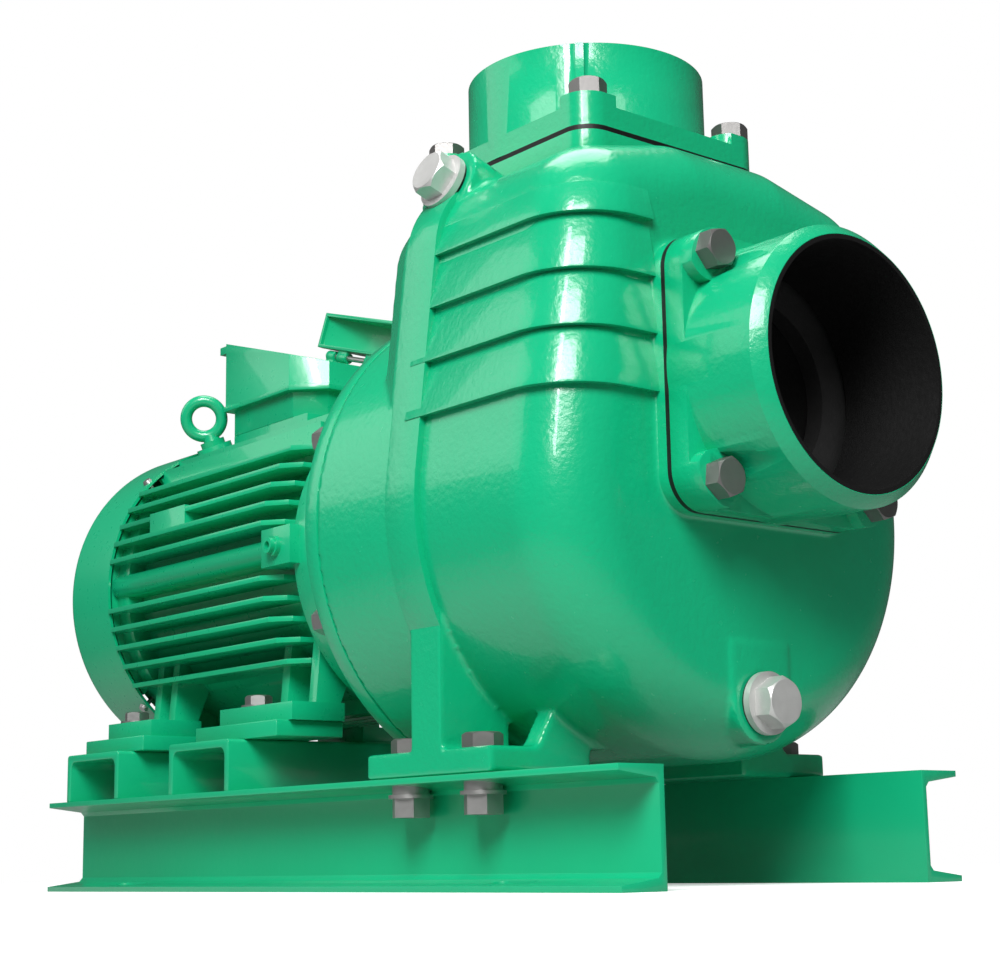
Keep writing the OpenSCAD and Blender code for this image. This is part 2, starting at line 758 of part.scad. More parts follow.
// Adapter: back plate of the casing, seal housing and front bearing seat of the motor
module motor_adapter() {
    r2 = 138;
    color(green) difference() {
        yturn() polygon([[seal_r, back_plate_y], [spigot_r - 0.3, back_plate_y], [spigot_r - 0.3, seam_y],
            [ring_r - 4, seam_y], [ring_r - 4, seam_y + 2], [ring_r, seam_y + 2], [ring_r, ring_back_y],
            [ring_r - 25.6, ring_back_y], [r2 + 4, ring_back_y + 12],
            [r2, belt_y - 8], [r2, belt_y], [stator_r - 1, belt_y], [stator_r - 1, belt_y + 4],
            [brg_r + 10, belt_y + 6], [brg_r + 10, front_brg_y + brg_w], [brg_r, front_brg_y + brg_w],
            [brg_r, front_brg_y], [brg_r - 12, front_brg_y], [brg_r - 12, belt_y - 10], [120, belt_y - 10],
            [126, ring_back_y], [126, seam_y + 4], [60, back_plate_y + 16], [seal_r + 10, back_plate_y + 16],
            [seal_r + 10, back_plate_y + 34], [seal_r, back_plate_y + 34]]);
        at_adapter_bolts() translate([0, 0, -1]) cylinder(r = adapter_bolt_r + bolt_gap, h = ring_t + 2);
        // Drain windows of the lantern, below the shaft
        for (s = [-1, 1]) translate([s * 40 - 18, ring_back_y + 14, shaft_z - 150]) cube([36, 22, 80]);
    }
}
module adapter_bolts() {
    color(zinc) at_adapter_bolts() translate([0, 0, ring_t]) hex_bolt(19, adapter_bolt_r, 13, ring_t + 12);
}
module seal_seat() {
    color(zinc) translate([0, back_plate_y + 2, shaft_z]) rotate([-90, 0, 0])
        ring(seal_r - 0.05, stub_shaft_r + 3.5, 10);
}
module seal_head() {
    color(steel) translate([0, shroud_y + 0.02, shaft_z]) rotate([-90, 0, 0])
        ring(stub_shaft_r + 7, stub_shaft_r + 0.02, back_plate_y + 2 - run_gap - shroud_y - 0.02);
}

// Rotor
module motor_shaft() {
    y_nut = vane_y - 8;
    color(zinc) difference() {
        yturn() polygon([[0, y_nut], [9.5, y_nut], [9.5, vane_y + 10], [stub_shaft_r, vane_y + 10],
        [stub_shaft_r, back_plate_y + 44], [shaft_r + 4, back_plate_y + 48], [shaft_r + 4, front_brg_y],
        [shaft_r, front_brg_y], [shaft_r, front_brg_y + brg_w], [shaft_r + 3, front_brg_y + brg_w],
        [shaft_r + 3, rear_brg_y], [shaft_r, rear_brg_y], [shaft_r, rear_brg_y + brg_w],
        [14, rear_brg_y + brg_w], [14, fan_y + fan_len], [0, fan_y + fan_len]]);
        translate([-3, fan_y + 4, shaft_z + 10]) cube([6, 22, 7.5]);
    }
}
module shaft_key() {
    color(steel) translate([-3, fan_y + 4, shaft_z + 10]) cube([6, 22, 7.5]);
}
module bearing_set(kind) {
    for (y = [front_brg_y, rear_brg_y]) translate([0, y, shaft_z]) rotate([-90, 0, 0]) {
        if (kind == "outer") rotate_extrude($fn = 96) difference() {
            translate([brg_r - 7.5, 0.3]) square([7.45, brg_w - 0.6]);
            translate([(brg_r + shaft_r) / 2, brg_w / 2]) circle(7, $fn = 32);
        }
        if (kind == "inner") rotate_extrude($fn = 96) difference() {
            translate([shaft_r + 0.01, 0.3]) square([7.5, brg_w - 0.6]);
            translate([(brg_r + shaft_r) / 2, brg_w / 2]) circle(7, $fn = 32);
        }
        if (kind == "balls") for (a = [0:45:315])
            rotate([0, 0, a]) translate([(brg_r + shaft_r) / 2, 0, brg_w / 2]) sphere(r = 6.7, $fn = 24);
    }
}
module bearing_outer_rings() {
    color(zinc) bearing_set("outer");
}
module bearing_inner_rings() {
    color(zinc) bearing_set("inner");
}
module bearing_balls() {
    color(zinc) bearing_set("balls");
}
module rotor_core() {
    color(steel) difference() {
        ycyl(rotor_r, stator_y0, stator_y0 + stator_len, z = shaft_z);
        ycyl(shaft_r + 3.04, stator_y0 - 1, stator_y0 + stator_len + 1, z = shaft_z);
    }
}
module rotor_end_rings() {
    color(zinc) for (y = [stator_y0 - 14, stator_y0 + stator_len])
        translate([0, y, shaft_z]) rotate([-90, 0, 0]) ring(rotor_r - 3, rotor_r - 20, 14);
}
module stator_core() {
    color(steel) difference() {
        ycyl(stator_r - 0.05, stator_y0, stator_y0 + stator_len, z = shaft_z);
        ycyl(rotor_r + air_gap, stator_y0 - 1, stator_y0 + stator_len + 1, z = shaft_z);
    }
}
module stator_windings() {
    color(copper) for (y = [stator_y0 - 32, stator_y0 + stator_len])
        translate([0, y, shaft_z]) rotate([-90, 0, 0]) ring(stator_r - 8, rotor_r + 6, 32);
}

// Motor frame with horizontal fins, feet and a pad for the terminal box
module fin(z, len0, len1) {
    d = z - shaft_z;
    x1 = sqrt(fin_tip_r * fin_tip_r - d * d);
    x0 = sqrt(max(1, barrel_r * barrel_r - d * d)) - 4;
    translate([0, 0, z - fin_t / 2]) linear_extrude(fin_t)
        polygon([[x0, len0 - 8], [x1 - 12, len0 - 6], [x1, len0 + 10], [x1, len1], [x0, len1]]);
}
module motor_frame() {
    mid_z = shaft_z + 2;
    color(green) difference() {
        union() {
            ycyl(barrel_r, belt_y, frame_y1, z = shaft_z);
            // Smooth belts at both ends
            ycyl(fin_tip_r - 9, belt_y, fin_y0 - 26, z = shaft_z);
            ycyl(fin_tip_r - 12, fin_y1 - 16, frame_y1, z = shaft_z);
            for (m = [0, 1]) mirror([m, 0, 0]) {
                for (k = [0:4], s = [-1, 1]) fin(mid_z + s * (22 + k * fin_pitch), fin_y0, fin_y1);
                // Half round rib with a square boss at its front end
                ycyl(10, fin_y0 - 10, fin_y1, x = fin_tip_r - 15, z = mid_z);
                translate([fin_tip_r - 60, fin_y0 - 14, mid_z - 10]) cube([45, fin_y1 - fin_y0 + 14, 20]);
                translate([fin_tip_r - 42, fin_y0 - 34, mid_z - 15]) cube([42, 40, 30]);
                // Flat pad across two fins
                translate([90, fin_y1 - 112, mid_z + 36]) cube([44, 58, 22]);
            }
            // Upright fins beside the terminal box and below the barrel
            for (x = [-88, -72, 72, 88]) translate([x - fin_t / 2, fin_y0 + 4, shaft_z + 70])
                cube([fin_t, fin_y1 - fin_y0 - 4, fin_up(x) - 70]);
            for (x = [-40, -20, 0, 20, 40])
                translate([x - fin_t / 2, fin_y0, shaft_z - barrel_r - 4]) cube([fin_t, fin_y1 - fin_y0, 30]);
            // Saddle for the terminal box
            translate([-neck_half, box_y0 + 6, shaft_z + 90]) cube([2 * neck_half, box_len - 12, 48]);
            at_eye() translate([0, 0, -40]) cylinder(r = 16, h = 40);
            // Bosses for the screws of the fan cover
            translate([0, 0, shaft_z]) for (a = cover_screws) rotate([0, a, 0])
                translate([fin_tip_r - 20, fin_y1 - 8, -9]) cube([7.3, 23, 18]);
            motor_feet();
        }
        ycyl(stator_r, belt_y - 1, frame_y1 + 1, z = shaft_z);
        translate([0, box_mid_y, shaft_z + 60]) cylinder(r = 30, h = 100);
        at_eye() translate([0, 0, -18]) cylinder(r = 5.1, h = 20);
        translate([0, 0, shaft_z]) for (a = cover_screws) rotate([0, a, 0])
            translate([fin_tip_r - 27, fin_y1 + run_gap + 8, 0]) rotate([0, 90, 0]) cylinder(r = 2.1, h = 40);
    }
}
function fin_up(x) = sqrt(fin_tip_r * fin_tip_r - x * x) - 3;
module at_eye() {
    translate([0, eye_y, shaft_z]) rotate([0, eye_lean, 0]) translate([0, 0, eye_r0]) children();
}
module motor_feet() {
    x_out = foot_pitch_x / 2 + 20;
    x_in = 86;
    for (s = [-1, 1], y = [foot_y0, foot_y1]) {
        len = y == foot_y0 ? 104 : 74;
        y_start = y == foot_y0 ? y - 78 : y - 60;
        difference() {
            union() {
                translate([s > 0 ? x_in : -x_out, y_start, pad_top]) cube([x_out - x_in, len, foot_t]);
                // Gussets from the foot up to the barrel
                for (g = [y_start + 6, y_start + len - (y == foot_y0 ? 58 : 42)])
                    yprofile(g, g + 10) polygon([[s * x_in, pad_top + foot_t - 1],
                        [s * (x_out - 26), pad_top + foot_t - 1],
                        [s * 104, shaft_z - 66], [s * 70, shaft_z - 80]]);
            }
            translate([s * foot_pitch_x / 2, y, pad_top - 1])
                cylinder(r = motor_bolt_r + bolt_gap, h = foot_t + 2);
        }
    }
}
module rear_endshield() {
    color(green) difference() {
        yturn() polygon([[brg_r, rear_brg_y - 4], [brg_r + 10, rear_brg_y - 4], [brg_r + 10, frame_y1 - 4],
            [stator_r - 0.2, frame_y1 - 8], [stator_r - 0.2, frame_y1], [shield_r, frame_y1],
            [shield_r, frame_y1 + 5], [brg_r, frame_y1 + 5],
            [18, frame_y1 + 5], [18, rear_brg_y + brg_w], [brg_r, rear_brg_y + brg_w]]);
        // Notches for the lugs of the fan cover
        translate([0, 0, shaft_z]) for (a = cover_screws) rotate([0, a, 0])
            translate([shield_r - 15, frame_y1 - 1, -10]) cube([20, 8, 20]);
    }
}
module cooling_fan() {
    color(black) difference() {
        union() {
            ycyl(26, fan_y, fan_y + fan_len - 4, z = shaft_z);
            ycyl(fan_r, fan_y, fan_y + 4, z = shaft_z);
            for (k = [0:fan_blades - 1]) translate([0, 0, shaft_z]) rotate([0, k * 360 / fan_blades, 0])
                translate([22, fan_y + 3, -2]) cube([fan_r - 24, fan_len - 6, 4]);
        }
        ycyl(14.02, fan_y - 1, fan_y + fan_len + 1, z = shaft_z);
        translate([-3, fan_y - 1, shaft_z + 9]) cube([6, fan_len + 2, 8.6]);
    }
}
// Fan cover: a drawn cup with a ring grille in its rear face
function cover_bend(angles, r, bend, size) =
    [for (a = angles) [r - bend + size * cos(a), cover_y1 - bend + size * sin(a)]];
module fan_cover() {
    y0 = fin_y1 + run_gap;
    r = cover_r;
    w = cover_wall;
    bend = 10;
    color(green) difference() {
        union() {
            yturn() {
                polygon(concat([[r, y0], [r, cover_y1 - bend]], cover_bend([10:10:90], r, bend, bend),
                    [[0, cover_y1], [0, cover_y1 - w], [r - bend, cover_y1 - w]],
                    cover_bend([80:-10:0], r, bend, bend - w), [[r - w, y0]]));
            }
            // Lugs that the cover's screws go through
            for (a = cover_screws) translate([0, 0, shaft_z]) rotate([0, a, 0])
                translate([r - 11, y0, -9]) cube([9.5, 14, 18]);
        }
        for (k = [0:4]) grille_ring(36 + k * 18, 11);
        translate([0, 0, shaft_z]) for (a = cover_screws) rotate([0, a, 0])
            translate([r - 20, y0 + 8, 0]) rotate([0, 90, 0]) cylinder(r = 2.3, h = 40);
    }
}
// One ring of slots, broken by the bars of the grille
module grille_ring(r, w) {
    n = r < 60 ? 4 : 8;
    gap = 7;
    for (k = [0:n - 1]) translate([0, cover_y1 - cover_wall - 1, shaft_z]) rotate([-90, 0, 0]) {
        a0 = k * 360 / n + gap * 57.3 / r / 2;
        rotate([0, 0, a0]) rotate_extrude(angle = 360 / n - gap * 57.3 / r, $fn = 96)
            translate([r - w / 2, 0]) square([w, cover_wall + 2]);
    }
}
module fan_cover_screws() {
    color(zinc) translate([0, 0, shaft_z]) for (a = cover_screws) rotate([0, a, 0])
        translate([cover_r, fin_y1 + run_gap + 8, 0]) rotate([0, 90, 0]) {
            translate([0, 0, -14]) cylinder(r = 2, h = 14);
            cylinder(r1 = 4.5, r2 = 3.4, h = 2.4);
        }
}
module lifting_eye() {
    color(green) at_eye() {
        cylinder(r = 11, h = 5);
        translate([0, 0, -16]) cylinder(r = 5, h = 17);
        cylinder(r1 = 9, r2 = 6, h = 11);
        translate([0, 0, 26]) rotate([90, 0, eye_turn]) rotate_extrude($fn = 64)
            translate([16, 0]) circle(5.3, $fn = 24);
    }
}

// Terminal box, split on a slope that falls towards the pump
module box_plan(half, y0, y1, c) {
    polygon([[-half, y1], [-half, y0 + c], [-half + c, y0], [half - c, y0], [half, y0 + c], [half, y1]]);
}
function rim_z(y) = box_z0 + box_h - (box_y1 - y) * tan(box_slope);
module below_rim(drop, y_margin) {
    translate([-200, 0, 0]) rotate([90, 0, 90]) linear_extrude(400)
        polygon([[box_y0 - y_margin, 0], [box_y1 + y_margin, 0],
            [box_y1 + y_margin, rim_z(box_y1 + y_margin) - drop],
            [box_y0 - y_margin, rim_z(box_y0 - y_margin) - drop]]);
}
module terminal_box() {
    c = 25;
    w = box_wall;
    color(green) difference() {
        union() {
            // Neck on the motor's saddle
            translate([0, 0, shaft_z + 138.2]) linear_extrude(box_z0 - shaft_z - 138)
                box_plan(neck_half, box_y0 + 6, box_y1 - 6, c - 3);
            intersection() {
                translate([0, 0, box_z0]) linear_extrude(box_h + 20) box_plan(box_half, box_y0, box_y1, c);
                below_rim(0, 20);
            }
            translate([0, 0, box_z0]) linear_extrude(5)
                box_plan(box_half + 1.2, box_y0 - 1.2, box_y1 + 1.2, c);
            // Catch on the rear edge of the rim and the cable entry below it
            translate([-box_half, box_y1 - 4, box_z0 + box_h - 9]) cube([14, 14, 7]);
            translate([0, box_y1 - 2, box_z0 + 26]) rotate([-90, 0, 0]) cylinder(r = 22, h = 12);
            // Knuckles for the lid's hinge pin
            at_lid_axis() for (t = box_knuckles) translate([0, t * lid_len, 0]) {
                rotate([-90, 0, 0]) cylinder(r = 5, h = 12);
                translate([-4, 0, -lid_axis_up - 1]) cube([8, 12, lid_axis_up]);
            }
        }
        intersection() {
            translate([0, 0, box_z0 + w]) linear_extrude(box_h + 30)
                box_plan(box_half - w, box_y0 + w, box_y1 - w, c - 2);
            union() {
                below_rim(w, 0);
                translate([lid_axis_x - lid_w - 2, box_y0 + 10, box_z0 + w])
                    cube([lid_w - 8, box_len - 28, 200]);
            }
        }
        // Hollow neck, and the hole in the floor that the wires come up through
        translate([0, 0, shaft_z + 130]) linear_extrude(box_z0 - shaft_z - 130)
            box_plan(neck_half - w, box_y0 + 6 + w, box_y1 - 6 - w, c - 4);
        translate([-neck_half + w, box_mid_y - 40, box_z0 - 1]) cube([18, 80, w + 2]);
        translate([0, box_y1 - 10, box_z0 + 26]) rotate([-90, 0, 0]) cylinder(r = 16, h = 30);
        at_lid_axis() translate([0, -5, 0]) rotate([-90, 0, 0]) cylinder(r = lid_pin_r, h = lid_len + 10);
    }
}
// Frame of the lid's hinge: origin at its front end, Y along the pin
module at_lid_axis() {
    translate([lid_axis_x, box_y0 + 3, rim_z(box_y0 + 3) + lid_axis_up / cos(box_slope)])
        rotate([box_slope, 0, 0]) children();
}
module lid_hinge_pin() {
    color(zinc) at_lid_axis() translate([0, box_knuckles[0] * lid_len - 2, 0]) rotate([-90, 0, 0])
        cylinder(r = lid_pin_r, h = (box_knuckles[1] - box_knuckles[0]) * lid_len + 16);
}
// Wedge of the lid seen from its hinge side: shallow at the rear and deep at the front
module lid_side(y0, y1, drop) {
    base = 0.6 - lid_axis_up;
    rear = base + 6;
    polygon([[y0, base - drop], [y1, base - drop], [y1, rear + (lid_reach - y1) * tan(box_slope) - drop],
        [y0, rear + (lid_reach - y0) * tan(box_slope) - drop]]);
}
module terminal_box_lid() {
    t = 3;
    color(green) at_lid_axis() rotate([0, lid_open, 0]) difference() {
        union() {
            translate([-lid_w - 6, 0, 0]) rotate([90, 0, 90]) linear_extrude(lid_w) lid_side(0, lid_reach, 0);
            for (k = lid_knuckles) translate([0, k * lid_len, 0]) {
                rotate([-90, 0, 0]) cylinder(r = 5, h = 14);
                translate([-7, 0, -4]) cube([7, 14, 4]);
            }
        }
        translate([-lid_w - 6 + t, 0, 0]) rotate([90, 0, 90]) linear_extrude(lid_w - 2 * t)
            lid_side(t, lid_reach - t, t);
        translate([0, -5, 0]) rotate([-90, 0, 0]) cylinder(r = lid_pin_r + pin_gap, h = lid_len + 20);
    }
}
module terminal_block() {
    color(black) translate([-30, box_mid_y - 34, box_z0 + box_wall]) {
        cube([60, 68, 10]);
        for (k = [0:3]) translate([0, k * 21.5, 9.9]) cube([60, 3.5, 9]);
    }
}
module terminal_studs() {
    color(copper) for (k = [0:2], s = [-1, 1])
        translate([s * 14, box_mid_y - 21.5 + k * 21.5, box_z0 + box_wall + 10]) {
            cylinder(r = 2.5, h = 16);
            hex(9, 4);
        }
}
module grease_nipples() {
    mid_z = shaft_z + 2;
    color(green) for (s = [-1, 1])
        translate([s * fin_tip_r, fin_y0 - 14, mid_z]) rotate([0, s * 90, 0]) difference() {
            union() {
                cylinder(r = 8, h = 4);
                cylinder(r = 6, h = 8);
            }
            translate([0, 0, 3]) cylinder(r = 3.2, h = 10);
        }
}

// Fasteners of the feet
module at_casing_foot_bolts() {
    for (x = [-flange_mid_x, flange_mid_x], s = [-1, 1])
        translate([x, casing_y + s * foot_bolt_pitch / 2, 0]) children();
}
module at_motor_foot_bolts() {
    for (x = [-1, 1], y = [foot_y0, foot_y1]) translate([x * foot_pitch_x / 2, y, 0]) children();
}
module casing_foot_bolts() {
    color(steel) at_casing_foot_bolts() translate([0, 0, rail_top + casing_foot_t])
        hex_bolt(bolt_af, bolt_r, 10, casing_foot_t + rail_h / 2 - 4);
}
module casing_foot_washers() {
    // Taper washers that fill the slope under the rail flange
    color(zinc) difference() {
        at_casing_foot_bolts() {
            translate([0, 0, foot_nut_z]) ring(bolt_r + 5, bolt_r + 0.2, 9);
            translate([0, 0, foot_nut_z - 2.5]) ring(bolt_r + 7.5, bolt_r + 0.2, 2.5);
        }
        for (m = [0, 1]) mirror([m, 0, 0]) yprofile(-300, 0)
            polygon([[-tip_x - 5, rail_top - flange_tip + 5 * flange_slope],
                [-web_x, rail_top - flange_root - rail_web * flange_slope],
                [-web_x, rail_top + 5], [-tip_x - 5, rail_top + 5]]);
    }
}
module casing_foot_nuts() {
    color(zinc) at_casing_foot_bolts() translate([0, 0, foot_nut_z - 15.5]) difference() {
        hex(bolt_af, 13);
        translate([0, 0, -1]) cylinder(r = bolt_r, h = 15);
    }
}
module motor_foot_bolts() {
    color(zinc) at_motor_foot_bolts() translate([0, 0, pad_top + foot_t + 2.5])
        hex_bolt(19, motor_bolt_r, 8, foot_t + pad_t + member_t + 2.5 + 15);
}
module motor_foot_washers() {
    color(zinc) at_motor_foot_bolts() translate([0, 0, pad_top + foot_t]) ring(14, motor_bolt_r + 0.2, 2.5);
}
module motor_foot_nuts() {
    color(zinc) at_motor_foot_bolts() translate([0, 0, member_top - member_t - 10]) difference() {
        hex(19, 10);
        translate([0, 0, -1]) cylinder(r = motor_bolt_r, h = 12);
    }
}

rail_left();
rail_right();
motor_crossmember_front();
motor_crossmember_rear();
motor_pads();
pump_casing();
suction_flange_gasket();
suction_hub();
suction_liner();
suction_bolts();
discharge_gasket();
discharge_hub();
discharge_bolts();
flap_seat();
flap_pin();
check_flap();
flap_weight();
priming_plug();
priming_plug_washer();
drain_plug();
drain_plug_washer();
volute();
wear_plate();
impeller();
impeller_nut();
motor_adapter();
adapter_bolts();
seal_seat();
seal_head();
motor_shaft();
shaft_key();
bearing_outer_rings();
bearing_inner_rings();
bearing_balls();
motor_frame();
stator_core();
stator_windings();
rotor_core();
rotor_end_rings();
rear_endshield();
cooling_fan();
fan_cover();
fan_cover_screws();
lifting_eye();
terminal_box();
terminal_box_lid();
lid_hinge_pin();
terminal_block();
terminal_studs();
grease_nipples();
casing_foot_bolts();
casing_foot_washers();
casing_foot_nuts();
motor_foot_bolts();
motor_foot_washers();
motor_foot_nuts();
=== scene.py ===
# %% [markdown]
# This lesson dresses a self-priming pump: a green casting with a lined suction hub in front and a
# discharge hub on top, close coupled to a finned electric motor, and bolted to two rail channels.
# The CAD model gives every size and every joint. Blender adds what paint, casting sand and steel look
# like, and the rounded edges that a mould leaves. Everything is in metres, with Z up, the shaft along Y
# and the suction hub at -Y.

# %% Load the frame
import bmesh
import bpy
import json
import math
import numpy as np
from mathutils import Matrix, Vector


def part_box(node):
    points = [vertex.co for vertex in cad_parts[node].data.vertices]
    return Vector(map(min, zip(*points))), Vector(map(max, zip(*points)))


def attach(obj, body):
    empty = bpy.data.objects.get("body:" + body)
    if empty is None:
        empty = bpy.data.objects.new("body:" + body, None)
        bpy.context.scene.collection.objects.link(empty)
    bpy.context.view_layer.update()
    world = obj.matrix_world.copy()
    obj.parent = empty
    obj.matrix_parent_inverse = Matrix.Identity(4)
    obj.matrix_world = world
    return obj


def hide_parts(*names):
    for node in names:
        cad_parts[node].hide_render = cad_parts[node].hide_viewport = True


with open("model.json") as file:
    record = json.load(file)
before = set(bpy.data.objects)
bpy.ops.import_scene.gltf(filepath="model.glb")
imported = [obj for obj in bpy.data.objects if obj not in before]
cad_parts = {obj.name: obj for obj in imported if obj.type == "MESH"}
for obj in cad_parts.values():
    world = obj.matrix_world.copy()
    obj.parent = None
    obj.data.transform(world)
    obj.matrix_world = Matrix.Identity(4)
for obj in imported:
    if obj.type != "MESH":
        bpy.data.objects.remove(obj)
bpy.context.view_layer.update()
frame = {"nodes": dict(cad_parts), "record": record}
cad = frame["nodes"]
MM = 0.001

# %% [markdown]
# A finish is a tree of shader nodes, and a pattern such as a set of bolts is a tree of geometry nodes.
# Written by hand, each sum and product would take three lines, so a small class wraps a socket and lets
# Python's own operators add the Math nodes. Any other node comes from one method, which takes its type,
# its settings and its inputs.

# %% A small language for node trees
class Wire:
    """One output socket of a tree. Maths on it adds Math nodes."""

    def __init__(self, owner, socket):
        self.owner, self.socket = owner, socket

    def math(self, operation, first, second=0.0):
        return self.owner.node("ShaderNodeMath", {"operation": operation}, {0: first, 1: second})

    def __add__(self, other): return self.math("ADD", self, other)
    def __radd__(self, other): return self.math("ADD", other, self)
    def __sub__(self, other): return self.math("SUBTRACT", self, other)
    def __rsub__(self, other): return self.math("SUBTRACT", other, self)
    def __mul__(self, other): return self.math("MULTIPLY", self, other)
    def __rmul__(self, other): return self.math("MULTIPLY", other, self)
    def __neg__(self): return self * -1.0
    def clamped(self): return self.math("MAXIMUM", self.math("MINIMUM", self, 1.0), 0.0)


class Tree:
    """A node tree that grows one node at a time."""

    def __init__(self, tree):
        self.tree = tree

    def node(self, kind, settings=(), inputs=(), output=0):
        made = self.tree.nodes.new(kind)
        for key, value in dict(settings).items():
            setattr(made, key, value)
        for key, value in dict(inputs).items():
            for part in value if isinstance(value, list) else [value]:
                if isinstance(part, Wire):
                    self.tree.links.new(part.socket, made.inputs[key])
                else:
                    made.inputs[key].default_value = part
        return Wire(self, made.outputs[output]) if len(made.outputs) else made


class Finish(Tree):
    """A material."""

    def __init__(self, name):
        self.material = bpy.data.materials.new(name)
        self.material.use_nodes = True
        super().__init__(self.material.node_tree)
        self.tree.nodes.clear()
        self.position = self.node("ShaderNodeTexCoord", output="Object")

    def noise(self, scale, detail=2.0, roughness=0.5):
        return self.node("ShaderNodeTexNoise", {}, {"Vector": self.position, "Scale": scale,
                                                    "Detail": detail, "Roughness": roughness})

    def blend(self, amount, first, second):
        ends = {0: amount, 6: first, 7: second}
        return self.node("ShaderNodeMix", {"data_type": "RGBA"}, ends, output=2)

    def bump(self, height, distance):
        return self.node("ShaderNodeBump", {}, {"Height": height, "Distance": distance, "Strength": 1.0})

    def surface(self, **inputs):
        named = {key.replace("_", " "): value for key, value in inputs.items()}
        shader = self.node("ShaderNodeBsdfPrincipled", {}, named)
        self.node("ShaderNodeOutputMaterial", {}, {"Surface": shader})
        return self.material


class Pattern(Tree):
    """A geometry tree with named number inputs."""

    def __init__(self, name, inputs):
        super().__init__(bpy.data.node_groups.new(name, "GeometryNodeTree"))
        face = self.tree.interface
        face.new_socket("Geometry", in_out="OUTPUT", socket_type="NodeSocketGeometry")
        face.new_socket("Geometry", in_out="INPUT", socket_type="NodeSocketGeometry")
        for key, kind in inputs.items():
            face.new_socket(key, in_out="INPUT", socket_type="NodeSocket" + kind)
        entry = self.tree.nodes.new("NodeGroupInput")
        self.given = {socket.name: Wire(self, socket) for socket in entry.outputs if socket.name}

    def vector(self, x=0.0, y=0.0, z=0.0):
        return self.node("ShaderNodeCombineXYZ", {}, {"X": x, "Y": y, "Z": z})

    def moved(self, shape, translation, rotation=(0, 0, 0)):
        return self.node("GeometryNodeTransform", {}, {"Geometry": shape, "Translation": translation,
                                                       "Rotation": rotation})

    def ends(self, shape):
        """Real mesh, with the material given to the modifier."""
        real = self.node("GeometryNodeRealizeInstances", {}, {"Geometry": shape})
        painted = self.node("GeometryNodeSetMaterial", {}, {"Geometry": real,
                                                            "Material": self.given["Material"]})
        self.node("NodeGroupOutput", {}, {"Geometry": painted})


# %% [markdown]
# The pump wears a thick glossy enamel. On the castings it lies over sand texture, so it looks like
# orange peel in the highlights. On the motor and the rails the metal under it is smoother. A bump on
# two sizes of noise gives the peel, and a little variation in roughness breaks up the reflections.

# %% Enamel finishes
GREEN = (0.004, 0.455, 0.208, 1)
DEEP_GREEN = (0.003, 0.40, 0.180, 1)


def enamel(name, peel_height, peel_scale, gloss):
    """Green enamel. The peel's height is in metres, its scale in waves per metre."""
    finish = Finish(name)
    cloud = finish.noise(9.0)
    peel = finish.noise(peel_scale, 3.0, 0.55) + finish.noise(peel_scale * 0.3, 2.0) * 0.8
    return finish.surface(Base_Color=finish.blend(cloud, GREEN, DEEP_GREEN),
                          Roughness=gloss + finish.noise(140.0) * 0.1,
                          Normal=finish.bump(peel, peel_height),
                          Coat_Weight=0.4, Coat_Roughness=0.06)


cast_enamel = enamel("green enamel on casting", 0.00035, 240.0, 0.2)
smooth_enamel = enamel("green enamel on motor", 0.00012, 160.0, 0.24)
rail_enamel = enamel("green enamel on rolled steel", 0.00015, 120.0, 0.28)
print("enamels:", cast_enamel.name, "/", smooth_enamel.name, "/", rail_enamel.name)


# %% [markdown]
# The other finishes are bare: rubber for gaskets and lining, dark oiled steel for the big bolts, zinc
# plating for the small ones, and a few plain ones for the pieces inside.

# %% Bare finishes
def plain(name, colour, metallic, rough, grain=0.00005, grain_scale=400.0, spread=0.12):
    finish = Finish(name)
    speck = finish.noise(grain_scale, 3.0)
    darker = tuple(c * 0.7 for c in colour[:3]) + (1,)
    return finish.surface(Base_Color=finish.blend(finish.noise(60.0), colour, darker),
                          Metallic=metallic, Roughness=rough + speck * spread,
                          Normal=finish.bump(speck, grain))


FINISHES = {
    "green_casting": cast_enamel,
    "green_motor": smooth_enamel,
    "green_base": rail_enamel,
    "black_rubber": plain("black rubber", (0.003, 0.003, 0.003, 1), 0.0, 0.5, 0.0003, 260.0),
    "dark_bolt_steel": plain("dark oiled steel", (0.25, 0.24, 0.235, 1), 0.65, 0.33),
    "zinc_steel": plain("zinc plated steel", (0.52, 0.51, 0.50, 1), 0.9, 0.34),
    "silver_plug": plain("dull plated steel", (0.74, 0.74, 0.72, 1), 0.5, 0.40, 0.0002, 300.0),
    "bare_cast_iron": plain("machined cast iron", (0.12, 0.12, 0.12, 1), 0.8, 0.5, 0.0002),
    "ground_steel": plain("ground steel", (0.55, 0.55, 0.56, 1), 1.0, 0.22),
    "seal_ceramic": plain("pale ceramic", (0.7, 0.68, 0.6, 1), 0.0, 0.25),
    "core_steel": plain("core sheet", (0.2, 0.21, 0.22, 1), 0.8, 0.45),
    "cast_aluminium": plain("die cast aluminium", (0.5, 0.5, 0.52, 1), 0.9, 0.4),
    "winding_lacquer": plain("winding lacquer", (0.30, 0.09, 0.03, 1), 0.2, 0.35),
    "black_plastic": plain("black plastic", (0.012, 0.012, 0.012, 1), 0.0, 0.45),
    "brass_stud": plain("brass", (0.58, 0.36, 0.12, 1), 1.0, 0.3),
}
slot_of = {sub["node"]: sub["material_slot"] for sub in frame["record"]["subparts"]}
for name, node in cad.items():
    node.data.materials.clear()
    node.data.materials.append(FINISHES[slot_of[name]])
print("finishes:", len(FINISHES), "on", len(slot_of), "nodes")


# %% [markdown]
# Real edges are never sharp: the enamel runs over them and a mould rounds them, and the light catches
# there. A copy of a CAD node is merged into one skin, its flat faces are joined again, and a bevel
# rounds each edge. Where a bevel finds no room it leaves faces without any width, so a last merge clears
# those. The copy then stands for the node.

# %% Rounding the edges of a CAD piece
bodies = frame["record"]["behaviour"]["bodies"]
body_of_node = {node: body for body, nodes in bodies.items() for node in nodes}


